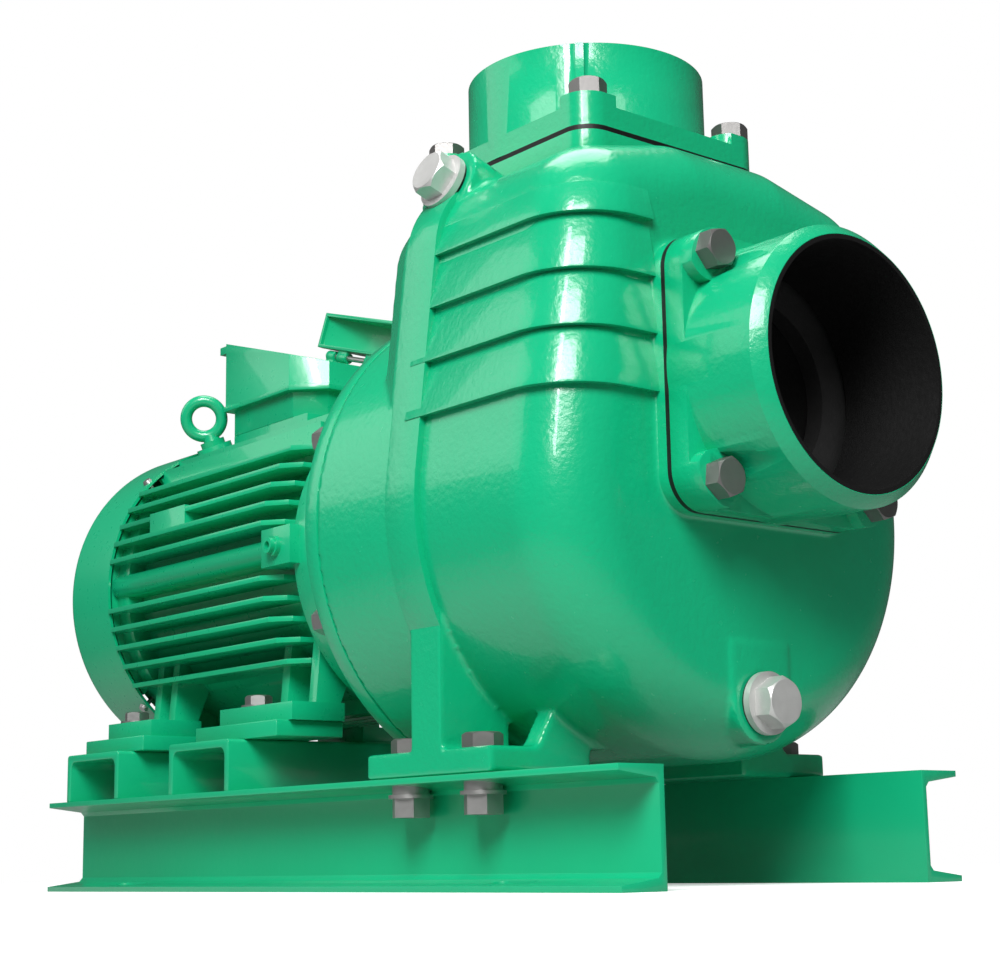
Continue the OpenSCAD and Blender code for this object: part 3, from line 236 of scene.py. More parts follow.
def finish_piece(piece, node_name):
    """Puts a finished mesh on the body of its CAD node, with that node's finish, in its place."""
    piece.data.materials.clear()
    piece.data.materials.append(FINISHES[slot_of[node_name]])
    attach(piece, body_of_node[node_name])
    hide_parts(node_name)


def shaded(mesh, sharp):
    """Smooth shading, with a crease where faces meet at more than some degrees."""
    for face in mesh.polygons:
        face.use_smooth = True
    mesh.set_sharp_from_angle(angle=math.radians(sharp))


def baked(piece):
    """The piece with its modifiers applied, as a plain mesh."""
    bpy.context.view_layer.update()
    graph = bpy.context.evaluated_depsgraph_get()
    mesh = bpy.data.meshes.new_from_object(piece.evaluated_get(graph))
    piece.modifiers.clear()
    piece.data = mesh
    return piece


def rounded(node_name, radius):
    """A copy of a CAD node with rounded edges."""
    mesh = cad[node_name].data.copy()
    work = bmesh.new()
    work.from_mesh(mesh)
    bmesh.ops.remove_doubles(work, verts=work.verts, dist=0.00002)
    flat = math.radians(1.0)
    bmesh.ops.dissolve_limit(work, angle_limit=flat, verts=work.verts, edges=work.edges)
    work.to_mesh(mesh)
    work.free()
    piece = bpy.data.objects.new(node_name + "_rounded", mesh)
    bpy.context.collection.objects.link(piece)
    edge = piece.modifiers.new("edge", "BEVEL")
    edge.width, edge.segments = radius, 2
    edge.limit_method, edge.angle_limit = "ANGLE", math.radians(28)
    baked(piece)
    work = bmesh.new()
    work.from_mesh(piece.data)
    bmesh.ops.remove_doubles(work, verts=work.verts, dist=0.01 * MM)
    bmesh.ops.dissolve_degenerate(work, edges=work.edges, dist=0.01 * MM)
    work.to_mesh(piece.data)
    work.free()
    shaded(piece.data, 34)
    finish_piece(piece, node_name)
    return piece


def patterned(name, mesh, pattern, values):
    """A mesh with a pattern laid on it, as a plain mesh."""
    piece = bpy.data.objects.new(name, mesh)
    bpy.context.collection.objects.link(piece)
    layer = piece.modifiers.new("pattern", "NODES")
    layer.node_group = pattern.tree
    for item in pattern.tree.interface.items_tree:
        if item.in_out == "INPUT" and item.name in values:
            layer[item.identifier] = values[item.name]
    return baked(piece)


# Radius of each node's edges, in millimetres
ROUNDING = {"rail_left": 0.8, "rail_right": 0.8, "motor_crossmember_front": 0.8,
            "motor_crossmember_rear": 0.8, "motor_pads": 0.8, "suction_hub": 1.2, "discharge_hub": 1.2,
            "motor_adapter": 1.0, "motor_frame": 0.8, "terminal_box": 0.8, "terminal_box_lid": 0.7}
for node_name, radius in ROUNDING.items():
    piece = rounded(node_name, radius * MM)
    print(node_name, "rounded:", len(piece.data.polygons), "faces")


# %% [markdown]
# The casing is the main piece: a cast tower with a bowl-shaped bottom, a raised rim in the plane of the
# discharge hub, and four shingle-like steps that wrap its front corner. It could be carved by hand, but
# its shape follows a few circles. Each form is made as a smooth closed skin from those circles, all of
# them are grown together by a voxel remesh, which also leaves the soft inner corners of a casting, and
# the hollow and the ports are then cut out.

# %% Circles and sections of the casing
casing_high = Vector(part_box("pump_casing")[1])
ring_low, ring_high = (Vector(v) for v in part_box("motor_adapter"))
hub_low, hub_high = (Vector(v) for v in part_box("discharge_hub"))
suction_low, suction_high = (Vector(v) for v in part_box("suction_hub"))
SHAFT_Z = (ring_low.z + ring_high.z) / 2
SUCTION_Z = (suction_low.z + suction_high.z) / 2
PORT_Y = (hub_low.y + hub_high.y) / 2
SEAM_Y = casing_high.y
FRONT_Y = PORT_Y - 159.4 * MM
BOWL_R = 178 * MM
RING_R = BOWL_R + 7.6 * MM
SHOULDER_W, SHOULDER_R = 157 * MM, 60 * MM
SHOULDER_Z = SHAFT_Z + 179.4 * MM
NECK_Z = SHAFT_Z + 247.6 * MM
NECK_X, NECK_R, NECK_DROP = 40 * MM, 52 * MM, 46.9 * MM
FRONT_ROUND = 50 * MM
WALL = 9 * MM
RIM_W, RIM_PROUD = 33 * MM, 5 * MM
print("shaft at", round(SHAFT_Z, 4), "port at", round(PORT_Y, 4))


def circle(x, z, r, n=120):
    turn = np.linspace(0, 2 * math.pi, n, endpoint=False)
    return np.stack([x + r * np.cos(turn), z + r * np.sin(turn)], 1)


def outline(points):
    """The convex outline of points in a plane, anticlockwise."""
    points = sorted(map(tuple, points))

    def turn(a, b, c):
        return (b[0] - a[0]) * (c[1] - a[1]) - (b[1] - a[1]) * (c[0] - a[0])

    def half(run):
        chain = []
        for p in run:
            while len(chain) > 1 and turn(chain[-2], chain[-1], p) <= 1e-12:
                chain.pop()
            chain.append(p)
        return chain[:-1]

    return np.array(half(points) + half(points[::-1]))


def section(inset):
    """The casing's section across the shaft, drawn in by an inset."""
    dots = [circle(0, SHAFT_Z, BOWL_R - inset, 240)]
    for side in (-1, 1):
        dots.append(circle(side * (SHOULDER_W - SHOULDER_R), SHOULDER_Z, SHOULDER_R - inset))
        dots.append(circle(side * NECK_X, NECK_Z - NECK_DROP, NECK_R - inset))
    return outline(np.concatenate(dots))


# %% Closed skins
def hull(points):
    """The convex skin round points in space."""
    work = bmesh.new()
    for p in points:
        work.verts.new(p)
    bmesh.ops.convex_hull(work, input=work.verts)
    loose = [v for v in work.verts if not v.link_faces]
    bmesh.ops.delete(work, geom=loose, context="VERTS")
    bmesh.ops.recalc_face_normals(work, faces=work.faces)
    mesh = bpy.data.meshes.new("skin")
    work.to_mesh(mesh)
    work.free()
    return mesh


def at_y(flat, y):
    return [(x, y, z) for x, z in flat]


def disc(centre, axis, r, n=96):
    """Points of a circle in space."""
    axis = Vector(axis).normalized()
    side = axis.orthogonal().normalized()
    up = axis.cross(side)
    turns = np.linspace(0, 2 * math.pi, n, endpoint=False)
    return [tuple(Vector(centre) + side * (r * math.cos(t)) + up * (r * math.sin(t))) for t in turns]


def barrel(start, axis, r, length, n=96, r_end=None):
    start, axis = Vector(start), Vector(axis).normalized()
    return hull(disc(start, axis, r, n) + disc(start + axis * length, axis, r_end or r, n))


def plate(centre, size, corner, axis_index, start, end):
    """A rounded plate square to one axis."""
    w, h = size[0] / 2 - corner, size[1] / 2 - corner
    rounds = [circle(sx * w, sy * h, corner, 48) for sx in (-1, 1) for sy in (-1, 1)]
    points = []
    for level in (start, end):
        for u, v in outline(np.concatenate(rounds)):
            p = [centre[0] + u, centre[1] + v]
            p.insert(axis_index, level)
            points.append(tuple(p))
    return hull(points)


def joined(meshes, name):
    """Several skins as one object."""
    work = bmesh.new()
    for mesh in meshes:
        work.from_mesh(mesh)
        bpy.data.meshes.remove(mesh)
    mesh = bpy.data.meshes.new(name)
    work.to_mesh(mesh)
    work.free()
    piece = bpy.data.objects.new(name, mesh)
    bpy.context.collection.objects.link(piece)
    return piece


# %% [markdown]
# The tower is a loft: the same section, drawn in more and more towards the front, so that front and
# sides meet in a quarter round. The rear half draws in towards the motor. The rim is one slice of a
# slightly larger section.

# %% The tower, the rear half and the rim
def loft(rear_y, front_y, rounding, inset):
    points = at_y(section(inset), rear_y)
    for a in range(0, 91, 5):
        t = math.radians(a)
        drawn_in = inset + rounding * (1 - math.cos(t)) * 0.98
        points += at_y(section(drawn_in), front_y + rounding * (1 - math.sin(t)))
    return hull(points)


skins = [loft(PORT_Y, FRONT_Y, FRONT_ROUND, 0)]
# The rear half: how far behind the discharge hub, and how much the section is drawn in there
REAR = [(0, 0), (30, 3), (52, 12), (62, 26)]
rear_points = []
for behind, inset in REAR:
    rear_points += at_y(section(inset * MM), PORT_Y + behind * MM)
skins.append(hull(rear_points))
RIM_TOP, RIM_FOOT = NECK_Z - 14.6 * MM, SHAFT_Z - 100 * MM
rim = section(-RIM_PROUD)
rim = rim[(rim[:, 1] < RIM_TOP) & (rim[:, 1] > RIM_FOOT)]
skins.append(barrel((0, PORT_Y, SHAFT_Z), (0, 1, 0), BOWL_R + RIM_PROUD - 1.5 * MM, SEAM_Y - PORT_Y, 240,
                    RING_R))
print("tower skins:", len(skins))

# %% [markdown]
# Feet, plug bosses, the pad behind the suction flange and the flange under the discharge hub are plain
# blocks and rounds. They are grown into the tower with the rest.

# %% Feet, bosses and pads
RAIL_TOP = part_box("rail_left")[1][2]
TIP_X = -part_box("rail_left")[0][0]
FOOT_T, FOOT_LEN, WING_T = 17.5 * MM, 135 * MM, 16 * MM
FLANGE_CORNER, PAD_CORNER = 20 * MM, 26 * MM
# A wing of the foot: distance from the middle and height above the rail, in millimetres
WING = [(122, 16.5), (104, 47.5), (60, 57.5), (60, 16.5)]
BOSS_R, DRAIN_BOSS_R = 29 * MM, 27 * MM


def block(x0, x1, y0, y1, z0, z1):
    return hull([(x, y, z) for x in (x0, x1) for y in (y0, y1) for z in (z0, z1)])


for side in (-1, 1):
    skins.append(block(side * 74 * MM, side * TIP_X, PORT_Y - FOOT_LEN / 2, PORT_Y + FOOT_LEN / 2,
                       RAIL_TOP, RAIL_TOP + FOOT_T))
    skins.append(block(side * (TIP_X - 60 * MM), side * TIP_X, PORT_Y - RIM_W / 2, PORT_Y + RIM_W / 2,
                       RAIL_TOP + 2 * MM, SHAFT_Z))
    for y in (PORT_Y - FOOT_LEN / 2, PORT_Y + FOOT_LEN / 2 - WING_T):
        skins.append(hull([(side * x * MM, yy, RAIL_TOP + z * MM)
                           for x, z in WING for yy in (y, y + WING_T)]))
skins.append(plate((0, PORT_Y), (172 * MM, 184 * MM), 40 * MM, 2, SHOULDER_Z, NECK_Z + 2 * MM))
top_low, top_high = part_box("discharge_gasket")
FLANGE = (top_high[0] - top_low[0], top_high[1] - top_low[1])
pad_low, pad_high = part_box("suction_flange_gasket")
PAD = (pad_high[0] - pad_low[0], pad_high[2] - pad_low[2])
# The flange and the pad are grown a little small, because crisp shells cover them later
UNDER = 1 * MM
skins.append(plate((0, PORT_Y), (FLANGE[0] - 2 * UNDER, FLANGE[1] - 2 * UNDER), FLANGE_CORNER, 2,
                   NECK_Z + UNDER, top_low[2] - UNDER))
skins.append(plate((0, SUCTION_Z), (PAD[0] - 2 * UNDER, PAD[1] - 2 * UNDER), PAD_CORNER, 1,
                   pad_high[1] + UNDER, FRONT_Y + 30 * MM))
PLUG_TILT = math.radians(70)
prime_axis = Vector((-math.sin(PLUG_TILT), 0, math.cos(PLUG_TILT)))
prime_at = Vector((-125.9 * MM, PORT_Y, SHAFT_Z + 232.9 * MM))
skins.append(barrel(prime_at - prime_axis * 30 * MM, prime_axis, BOSS_R, 41.6 * MM))
drain_at = Vector((-4 * MM, FRONT_Y - 1.5 * MM, SHAFT_Z - 141.7 * MM))
DRAIN_DEPTH = 62 * MM
skins.append(barrel(drain_at, (0, 1, 0), DRAIN_BOSS_R, DRAIN_DEPTH))
skins.append(block(drain_at.x - DRAIN_BOSS_R, drain_at.x + DRAIN_BOSS_R, drain_at.y, drain_at.y + DRAIN_DEPTH,
                   drain_at.z, drain_at.z + 40 * MM))
print("all skins:", len(skins))

# %% [markdown]
# The skins overlap. A voxel remesh turns them into one, with even small faces, and a few rounds of
# smoothing leave fillets of two or three millimetres in every corner. The even faces are more than the
# flat walls need, so a decimate thins them again.

# %% Grow the casing together
VOXEL = 2.0 * MM
FACES_KEPT = 68000
casing = joined(skins, "cast_casing")
grow = casing.modifiers.new("grow", "REMESH")
grow.mode = "VOXEL"
grow.voxel_size = VOXEL
relax = casing.modifiers.new("relax", "SMOOTH")
relax.factor, relax.iterations = 0.5, 2
baked(casing)
faces = len(casing.data.polygons)
thin = casing.modifiers.new("thin", "DECIMATE")
thin.ratio = min(1.0, FACES_KEPT / faces)
baked(casing)
print("casing skin:", faces, "faces, thinned to", len(casing.data.polygons))

# %% [markdown]
# The hollow and the ports are cut out with exact booleans. On a skin of many small faces such a cut can
# fail where two faces almost share a plane, so each result is weighed. It has to take something between
# nothing and the cutter's own volume, or it is made again with the cutter a hair aside.

# %% Cut the hollow and the ports
SUCTION_BORE_R, DISCHARGE_BORE_R, REAR_BORE_R = 88 * MM, 82.5 * MM, 150.2 * MM
PLUG_HOLE_R, PLUG_SEAT_R = 13.3 * MM, 22.7 * MM


def suction_bore():
    return barrel((0, FRONT_Y - 40 * MM, SUCTION_Z), (0, 1, 0), SUCTION_BORE_R, 90 * MM, 128)


def discharge_bore():
    return barrel((0, PORT_Y, NECK_Z - 60 * MM), (0, 0, 1), DISCHARGE_BORE_R, 100 * MM, 128)


def volume(mesh):
    work = bmesh.new()
    work.from_mesh(mesh)
    amount = work.calc_volume()
    work.free()
    return amount


def cut(piece, cutter_mesh):
    """Cuts a closed skin out of a piece, and checks what the cut took."""
    whole_mesh, most, tiny = piece.data, volume(cutter_mesh), 1e-7
    before = volume(whole_mesh)
    cutter = bpy.data.objects.new("cutter", cutter_mesh)
    bpy.context.collection.objects.link(cutter)
    for attempt in range(6):
        piece.data = whole_mesh
        cutter.location = Vector((0.07, 0.05, 0.06)) * MM * attempt
        carve = piece.modifiers.new("carve", "BOOLEAN")
        carve.operation, carve.solver, carve.object = "DIFFERENCE", "EXACT", cutter
        baked(piece)
        taken = before - volume(piece.data)
        if -tiny < taken < most + tiny and taken < before - tiny:
            break
        print("cut", attempt, "took", round(taken * 1e6, 2), "cm3 of", round(before * 1e6, 2))
    else:
        piece.data = whole_mesh
    bpy.data.objects.remove(cutter)


cut(casing, loft(PORT_Y + 20 * MM, FRONT_Y + WALL, FRONT_ROUND - WALL, WALL))
cut(casing, suction_bore())
cut(casing, discharge_bore())
cut(casing, barrel((0, SEAM_Y - 74 * MM, SHAFT_Z), (0, 1, 0), REAR_BORE_R, 90 * MM, 180))
cut(casing, barrel(prime_at - prime_axis * 50 * MM, prime_axis, PLUG_HOLE_R, 90 * MM, 48))
cut(casing, barrel(prime_at + prime_axis * 12 * MM, prime_axis, PLUG_SEAT_R, 40 * MM, 48))
cut(casing, barrel(drain_at + Vector((0, 60 * MM, 0)), (0, -1, 0), PLUG_HOLE_R, 90 * MM, 48))
print("casing:", len(casing.data.polygons), "faces")

# %% [markdown]
# Four step bands lie on the tower like shingles: flush at the top and proud at the foot, so that each
# leaves a shadow line. Smoothing would melt them away, so they are laid on afterwards as closed shells
# with their own small edge radius. They stop beside the suction pad.

# %% The step bands
BAND_PITCH, BAND_PROUD, BAND_GAP = 39.2 * MM, 5 * MM, 1.2 * MM
FIRST_BAND_H = 22 * MM


def side_width(z):
    t = max(0, (z - SHAFT_Z - 20 * MM) / (SHOULDER_Z - SHAFT_Z - 20 * MM))
    return BOWL_R - (BOWL_R - SHOULDER_W) * t


def band_points(side, z, out):
    w, r, stop = side_width(z), FRONT_ROUND - 3.3 * MM, PAD[0] / 2
    points = [(side * x, y, z) for x, y in circle(w - r, FRONT_Y + r, r + out, 120) if x > stop]
    points += [(side * (w + out), PORT_Y, z), (side * (w - 8 * MM), PORT_Y, z)]
    return points + [(side * stop, FRONT_Y - out, z), (side * stop, FRONT_Y + 8 * MM, z)]


def crisp(mesh, radius, cutter):
    """A closed shell laid on the casing, hollowed, with a small radius on its edges."""
    shell = bpy.data.objects.new("shell", mesh)
    bpy.context.collection.objects.link(shell)
    cut(shell, cutter)
    soft = shell.modifiers.new("edge", "BEVEL")
    soft.width, soft.segments = radius, 3
    soft.limit_method, soft.angle_limit = "ANGLE", math.radians(30)
    return baked(shell)


def inside():
    return loft(PORT_Y + 40 * MM, FRONT_Y + WALL / 2, FRONT_ROUND - WALL / 2, WALL / 2)


shells = []
for k in range(4):
    foot = SHOULDER_Z - 4 * MM - k * BAND_PITCH
    height = FIRST_BAND_H if k == 0 else BAND_PITCH - BAND_GAP
    for side in (-1, 1):
        band = hull(band_points(side, foot, BAND_PROUD)
                    + band_points(side, foot + 3 * MM, BAND_PROUD - 0.2 * MM)
                    + band_points(side, foot + height, -0.3 * MM))
        shells.append(crisp(band, 0.9 * MM, inside()))
rim_skin = hull(at_y(rim, PORT_Y - RIM_W / 2) + at_y(rim, PORT_Y + RIM_W / 2))
flange_skin = plate((0, PORT_Y), FLANGE, FLANGE_CORNER, 2, NECK_Z, top_low[2])
pad_skin = plate((0, SUCTION_Z), PAD, PAD_CORNER, 1, pad_high[1], FRONT_Y + 8 * MM)
shells.append(crisp(rim_skin, 2 * MM, inside()))
shells.append(crisp(flange_skin, 1.2 * MM, discharge_bore()))
shells.append(crisp(pad_skin, 1.2 * MM, suction_bore()))
whole = bpy.data.meshes.new("casing_with_bands")
work = bmesh.new()
for part in [casing] + shells:
    shaded(part.data, 40)
    work.from_mesh(part.data)
work.to_mesh(whole)
work.free()
for shell in shells:
    bpy.data.objects.remove(shell)
casing.data = whole
finish_piece(casing, "pump_casing")
print("casing with bands:", len(whole.polygons), "faces")

# %% [markdown]
# Hexagon bolts repeat all over the pump, so one pattern makes them all: a six-sided prism, chamfered by
# the cone it shares its space with, a shank under it, and a copy on every point of a set, aligned with
# the axis of its hole. Every head is turned a little differently, as a spanner leaves it.

# %% A pattern for hexagon bolts
# The cone reaches past both ends of the prism and is turned a little, so that no faces or edges coincide
CHAMFER_SLOPE, CONE_TURN = 1.43, math.radians(3.1)
hexes = Pattern("hexagon bolts", {"Across flats": "Float", "Head": "Float", "Shank radius": "Float",
                                  "Shank length": "Float", "Axis": "Vector", "Turn spread": "Float",
                                  "Seed": "Int", "Material": "Material"})
flats, head, length = (hexes.given[k] for k in ("Across flats", "Head", "Shank length"))
spread = hexes.given["Turn spread"]
prism = hexes.node("GeometryNodeMeshCylinder", {"fill_type": "NGON"},
                   {"Vertices": 6, "Radius": flats * (1 / math.sqrt(3)), "Depth": head})
prism = hexes.moved(prism, hexes.vector(z=head * 0.5))
past = 1 * MM
top_radius = flats * 0.5 - 0.4 * MM
cone = hexes.node("GeometryNodeMeshCone", {"fill_type": "NGON"}, {
    "Vertices": 48, "Radius Top": top_radius - past * CHAMFER_SLOPE,
    "Radius Bottom": top_radius + (head + past) * CHAMFER_SLOPE, "Depth": head + 2 * past})
cone = hexes.moved(cone, hexes.vector(z=-past), (0, 0, CONE_TURN))
chamfered = hexes.node("GeometryNodeMeshBoolean", {"operation": "INTERSECT"}, {"Mesh 2": [prism, cone]})
shank = hexes.node("GeometryNodeMeshCylinder", {"fill_type": "NGON"},
                   {"Vertices": 24, "Radius": hexes.given["Shank radius"], "Depth": length})
shank = hexes.moved(shank, hexes.vector(z=length * -0.5 + 0.2 * MM))
bolt = hexes.node("GeometryNodeJoinGeometry", {}, {"Geometry": [chamfered, shank]})
aligned = hexes.node("FunctionNodeAlignRotationToVector", {"axis": "Z"}, {"Vector": hexes.given["Axis"]})
chance = hexes.node("FunctionNodeRandomValue", {"data_type": "FLOAT"},
                    {2: -spread, 3: spread, "Seed": hexes.given["Seed"]}, output=1)
spin = hexes.node("FunctionNodeEulerToRotation", {}, {0: hexes.vector(z=chance)})
turned = hexes.node("FunctionNodeRotateRotation", {"rotation_space": "LOCAL"}, {0: aligned, 1: spin})
hexes.ends(hexes.node("GeometryNodeInstanceOnPoints", {}, {"Points": hexes.given["Geometry"],
                                                           "Instance": bolt, "Rotation": turned}))

# %% The bolts
# Across flats, head, shank radius and shank length of each set, in millimetres
BOLTS = {"suction_bolts": (24, 12, 8, 40), "discharge_bolts": (24, 12, 8, 40),
         "adapter_bolts": (19, 13, 6, 20), "casing_foot_bolts": (24, 10, 8, 40),
         "motor_foot_bolts": (19, 8, 6, 40)}
SUCTION_BOLT, DISCHARGE_BOLT_X, DISCHARGE_BOLT_Y = 76 * MM, 73 * MM, 81.5 * MM
ADAPTER_BOLT_R, ADAPTER_BOLT_COUNT = RING_R - 10.6 * MM, 8


def bolts(node_name, places, axis):
    flats, head, shank_r, shank_length = (size * MM for size in BOLTS[node_name])
    points = bpy.data.meshes.new(node_name + "_places")
    points.from_pydata([tuple(p) for p in places], [], [])
    piece = patterned(node_name + "_heads", points, hexes, {
        "Across flats": flats, "Head": head, "Shank radius": shank_r, "Shank length": shank_length,
        "Axis": axis, "Turn spread": 0.5, "Seed": 3, "Material": FINISHES[slot_of[node_name]]})
    shaded(piece.data, 24)
    finish_piece(piece, node_name)


def corners(x, y, z):
    return [(sx, sy, sz) for sx in x for sy in y for sz in z]


def head_of(node_name):
    return BOLTS[node_name][1] * MM


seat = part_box("suction_bolts")[0][1] + head_of("suction_bolts")
bolts("suction_bolts", corners((-SUCTION_BOLT, SUCTION_BOLT), (seat,),
                               (SUCTION_Z - SUCTION_BOLT, SUCTION_Z + SUCTION_BOLT)), (0, -1, 0))
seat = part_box("discharge_bolts")[1][2] - head_of("discharge_bolts")
bolts("discharge_bolts", corners((-DISCHARGE_BOLT_X, DISCHARGE_BOLT_X),
                                 (PORT_Y - DISCHARGE_BOLT_Y, PORT_Y + DISCHARGE_BOLT_Y), (seat,)), (0, 0, 1))
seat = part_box("adapter_bolts")[1][1] - head_of("adapter_bolts")
turns = [2 * math.pi * (k + 0.5) / ADAPTER_BOLT_COUNT for k in range(ADAPTER_BOLT_COUNT)]
bolts("adapter_bolts", [(ADAPTER_BOLT_R * math.cos(a), seat, SHAFT_Z + ADAPTER_BOLT_R * math.sin(a))
                        for a in turns], (0, 1, 0))
for node_name in ("casing_foot_bolts", "motor_foot_bolts"):
    flats_across = BOLTS[node_name][0]
    a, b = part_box(node_name)
    x = b[0] - flats_across / math.sqrt(3) * MM
    y = (a[1] + flats_across / 2 * MM, b[1] - flats_across / 2 * MM)
    bolts(node_name, corners((-x, x), y, (b[2] - head_of(node_name),)), (0, 0, 1))

# %% [markdown]
# The fan cover is a drawn cup. Its rear face has rings of slots for the air, broken by bars. The cup is
# a profile turned round the shaft, open in the middle of its rear, and a pattern fills the opening with
# what the slots leave: a disc, rings and bars.

# %% The fan cover and its grille
def turned_ring(profile, n=144):
    """A closed profile of (radius, y) turned round the shaft."""
    steps = [2 * math.pi * k / n for k in range(n)]
    points = [(r * math.cos(t), y, SHAFT_Z + r * math.sin(t)) for t in steps for r, y in profile]
    m = len(profile)
    quads = []
    for k in range(n):
        here, there = k * m, (k + 1) % n * m
        quads += [(here + i, here + (i + 1) % m, there + (i + 1) % m, there + i) for i in range(m)]
    mesh = bpy.data.meshes.new("turned")
    mesh.from_pydata(points, [], quads)
    work = bmesh.new()
    work.from_mesh(mesh)
    bmesh.ops.recalc_face_normals(work, faces=work.faces)
    work.to_mesh(mesh)
    work.free()
    return mesh


grille = Pattern("ring grille", {"First radius": "Float", "Pitch": "Float", "Rings": "Int", "Slot": "Float",
                                 "Wall": "Float", "Bar": "Float", "Centre": "Vector", "Material": "Material"})
first, pitch, slot_w, wall, bar = (grille.given[k] for k in ("First radius", "Pitch", "Slot", "Wall", "Bar"))
reach = pitch * (grille.given["Rings"] - 1.0)
position = grille.node("GeometryNodeInputPosition")

# Rings between the slots: a point for each on a line, a circle as wide as its distance, laid in the middle
line = grille.node("GeometryNodeMeshLine", {"mode": "OFFSET"}, {
    "Count": grille.given["Rings"] - 1.0, "Start Location": grille.vector(x=first + pitch * 0.5),
    "Offset": grille.vector(x=pitch)})
radius = grille.node("ShaderNodeSeparateXYZ", {}, {0: position})
unit = grille.node("GeometryNodeCurvePrimitiveCircle", {}, {"Resolution": 96, "Radius": 1.0})
paths = grille.node("GeometryNodeInstanceOnPoints", {}, {
    "Points": line, "Instance": unit, "Scale": grille.vector(x=radius, y=radius, z=1.0)})
paths = grille.node("GeometryNodeTranslateInstances", {}, {
    "Instances": paths, "Translation": grille.vector(x=-radius), "Local Space": False})
paths = grille.node("GeometryNodeRealizeInstances", {}, {"Geometry": paths})
paths = grille.node("GeometryNodeSetCurveRadius", {}, {"Curve": paths, "Radius": 1.0})
strip = grille.node("GeometryNodeCurvePrimitiveQuadrilateral", {"mode": "RECTANGLE"},
                    {"Width": pitch - slot_w, "Height": wall})
rings = grille.node("GeometryNodeCurveToMesh", {}, {"Curve": paths, "Profile Curve": strip})
plug = grille.node("GeometryNodeMeshCylinder", {"fill_type": "NGON"},
                   {"Vertices": 96, "Radius": first - slot_w * 0.5, "Depth": wall})

# Bars: four from the disc to the second ring, eight from there to the cup
outward = grille.node("FunctionNodeAlignRotationToVector", {"axis": "X"}, {"Vector": position})
lain = [rings, plug]
for count, start, stop in ((4, first - slot_w, first + pitch * 1.5),
                           (8, first + pitch * 1.5, first + reach + slot_w)):
    hub = grille.node("GeometryNodeMeshCircle", {}, {"Vertices": count, "Radius": (start + stop) * 0.5})
    arm_size = grille.vector(stop - start + 2 * MM, bar, wall * 0.8)
    arm = grille.node("GeometryNodeMeshCube", {}, {"Size": arm_size})
    lain.append(grille.node("GeometryNodeInstanceOnPoints", {}, {
        "Points": hub, "Instance": arm, "Rotation": outward}))
filling = grille.moved(grille.node("GeometryNodeJoinGeometry", {}, {"Geometry": lain}),
                       grille.given["Centre"], (-math.pi / 2, 0, 0))
grille.ends(grille.node("GeometryNodeJoinGeometry", {}, {"Geometry": [grille.given["Geometry"], filling]}))

cover_low, cover_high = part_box("fan_cover")
R, Y0, Y1, W, BEND = cover_high[0], cover_low[1], cover_high[1], 2.5 * MM, 10 * MM
GRILLE = {"First radius": 36 * MM, "Pitch": 18 * MM, "Rings": 5, "Slot": 11 * MM}
OPEN_R = GRILLE["First radius"] + GRILLE["Pitch"] * (GRILLE["Rings"] - 1) + GRILLE["Slot"] / 2
arc = [math.radians(a) for a in range(0, 91, 9)]


def bend(r, angles):
    """The round corner of the cup, at a radius."""
    return [(R - BEND + r * math.cos(a), Y1 - BEND + r * math.sin(a)) for a in angles]


profile = [(R, Y0)] + bend(BEND, arc) + [(OPEN_R, Y1), (OPEN_R, Y1 - W)]
profile += bend(BEND - W, arc[::-1]) + [(R - W, Y0)]
cover = patterned("fan_cover_cup", turned_ring(profile), grille, {
    **GRILLE, "Wall": W, "Bar": 7 * MM, "Centre": (0, Y1 - W / 2, SHAFT_Z),
    "Material": FINISHES["green_motor"]})
shaded(cover.data, 34)
finish_piece(cover, "fan_cover")

# %% [markdown]
# A plain pale floor carries the pump. It takes the shadow near the pump and fades to pure white further
# out, so that no horizon shows. It glows less for reflections than for the camera, or the underside of
# the castings would shine.

# %% The floor
FLOOR_HALF = 40
FAR_START, FAR_RATE = 0.45, 1.1
floor_mesh = bpy.data.meshes.new("floor")
floor_mesh.from_pydata([(x * FLOOR_HALF, y * FLOOR_HALF, 0) for x, y in ((-1, -1), (1, -1), (1, 1), (-1, 1))],
                       [], [(0, 1, 2, 3)])
floor = bpy.data.objects.new("floor", floor_mesh)
bpy.context.collection.objects.link(floor)
paint = Finish("pale floor")
matt = paint.node("ShaderNodeBsdfPrincipled", {}, {"Base Color": (0.93, 0.93, 0.93, 1), "Roughness": 0.9,
                                                   "Specular IOR Level": 0.0})
seen = paint.node("ShaderNodeLightPath")
glow = paint.node("ShaderNodeEmission", {}, {"Color": (1, 1, 1, 1), "Strength": seen * 0.88 + 0.12})
distance = paint.node("ShaderNodeVectorMath", {"operation": "LENGTH"}, {0: paint.position}, output="Value")
far = ((distance - FAR_START) * FAR_RATE).clamped()
lift = paint.node("ShaderNodeEmission", {}, {"Color": (1, 1, 1, 1), "Strength": seen * 0.42})
near = paint.node("ShaderNodeAddShader", {}, {0: matt, 1: lift})
unseen = (1.0 - seen) * 0.5
shade = paint.node("ShaderNodeMixShader", {}, {0: far + unseen - far * unseen, 1: near, 2: glow})
paint.node("ShaderNodeOutputMaterial", {}, {"Surface": shade})
floor_mesh.materials.append(paint.material)
print("floor:", 2 * FLOOR_HALF, "m wide")

# %% [markdown]
# The world answers each ray with what it asks for. The camera sees white, a reflection sees only a little,
# so the paint stays deep, and the rest is a soft fill.

# %% The world
world = bpy.data.worlds.new("studio")
bpy.context.scene.world = world
world.use_nodes = True
sky = Tree(world.node_tree)
sky.tree.nodes.clear()


def backdrop(colour, strength):
    return sky.node("ShaderNodeBackground", {}, {"Color": colour, "Strength": strength})


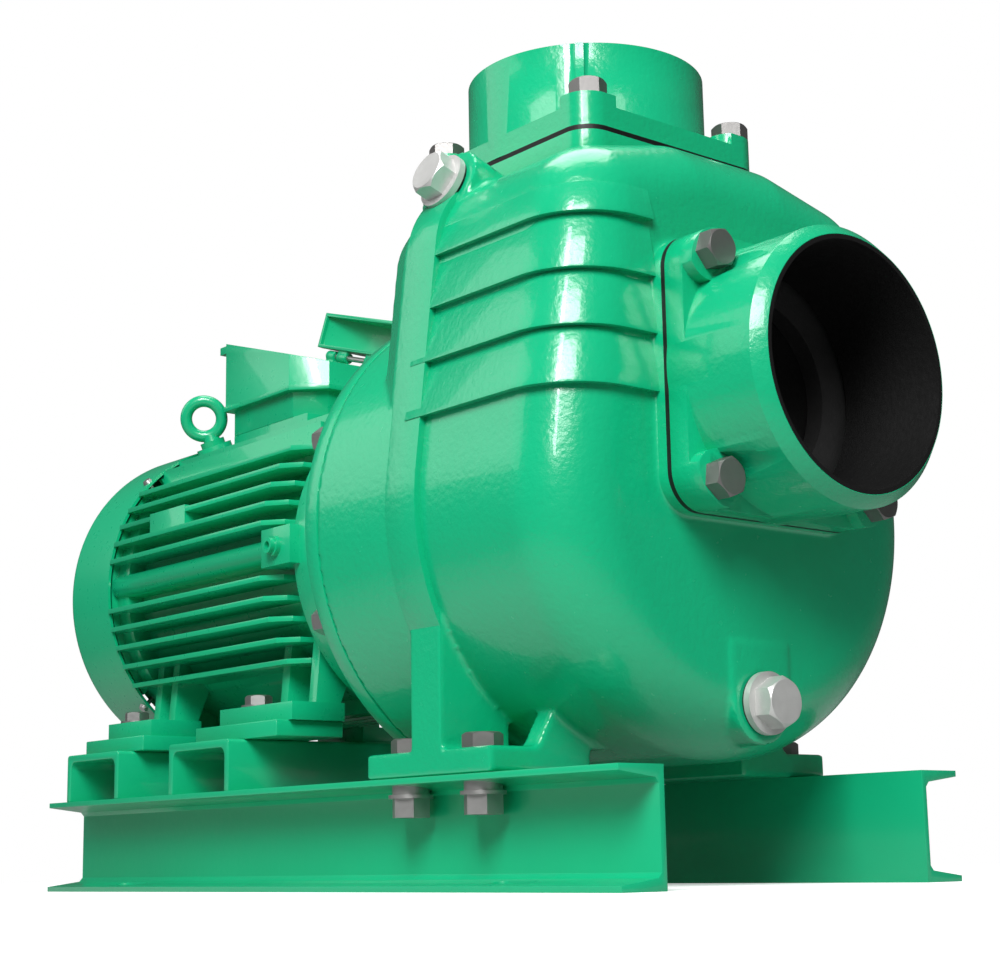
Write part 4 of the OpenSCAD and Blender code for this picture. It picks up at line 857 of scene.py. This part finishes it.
in_gloss = sky.node("ShaderNodeLightPath", output="Is Glossy Ray")
in_camera = sky.node("ShaderNodeLightPath", output="Is Camera Ray")
around = sky.node("ShaderNodeMixShader", {}, {0: in_gloss, 1: backdrop((0.95, 0.97, 1.0, 1), 0.24),
                                              2: backdrop((1, 1, 1, 1), 0.07)})
whole_sky = sky.node("ShaderNodeMixShader", {}, {0: in_camera, 1: around, 2: backdrop((1, 1, 1, 1), 1.0)})
sky.node("ShaderNodeOutputWorld", {}, {"Surface": whole_sky})
print("world nodes:", len(sky.tree.nodes))

# %% [markdown]
# Four soft lamps. The key stands behind the photographer's left shoulder, a narrow strip draws the long
# highlight down the casing's round corner, and two weak ones keep the sides and the top from going dull.

# %% The lamps
LAMP_AIM = Vector((0, 0, 0.3))


def softbox(name, place, size, power):
    """A rectangular lamp that faces the pump. Sizes are in metres, power in watts."""
    lamp = bpy.data.lights.new(name, "AREA")
    lamp.shape = "RECTANGLE"
    lamp.size, lamp.size_y = size
    lamp.energy = power
    stand = bpy.data.objects.new(name.replace(" ", "_"), lamp)
    bpy.context.collection.objects.link(stand)
    place = Vector(place)
    turned = (LAMP_AIM - place).to_track_quat("-Z", "Y").to_matrix().to_4x4()
    stand.matrix_world = Matrix.Translation(place) @ turned


softbox("key", (-2.0, -1.9, 2.2), (1.4, 1.4), 98)
softbox("strip", (-1.9, -1.25, 1.75), (0.2, 1.7), 24)
softbox("left sheen", (-2.2, 2.0, 1.9), (2.4, 1.8), 17)
softbox("top", (0.2, 0.3, 2.6), (1.6, 1.6), 30)
print("lamps:", [lamp.name for lamp in bpy.data.lights])

# %% [markdown]
# The camera stands where the photographer stood: low, in front and to the left, looking up a little. Its
# place and its angles were solved from the edges of the rails, the hubs and the flanges.

# %% Camera
CAMERA_PLACE = (-0.96038, -1.18592, 0.02108)
YAW, PITCH, ROLL = (math.radians(a) for a in (39.93, 10.99, -1.05))
lens = bpy.data.cameras.new("camera")
lens.sensor_fit, lens.sensor_width = "HORIZONTAL", 36
lens.lens = 69.49
lens.clip_start = 0.05
camera = bpy.data.objects.new("camera", lens)
bpy.context.collection.objects.link(camera)
ahead = Vector((math.sin(YAW) * math.cos(PITCH), math.cos(YAW) * math.cos(PITCH), math.sin(PITCH)))
level = Vector((math.cos(YAW), -math.sin(YAW), 0))
upright = level.cross(ahead)
right = math.cos(ROLL) * level + math.sin(ROLL) * upright
up = math.cos(ROLL) * upright - math.sin(ROLL) * level
turned = Matrix((right, up, -ahead)).transposed().to_4x4()
camera.matrix_world = Matrix.Translation(CAMERA_PLACE) @ turned
bpy.context.scene.camera = camera
bpy.context.scene.view_settings.view_transform = "Standard"
print("camera at", CAMERA_PLACE, "lens", round(lens.lens, 2), "mm")
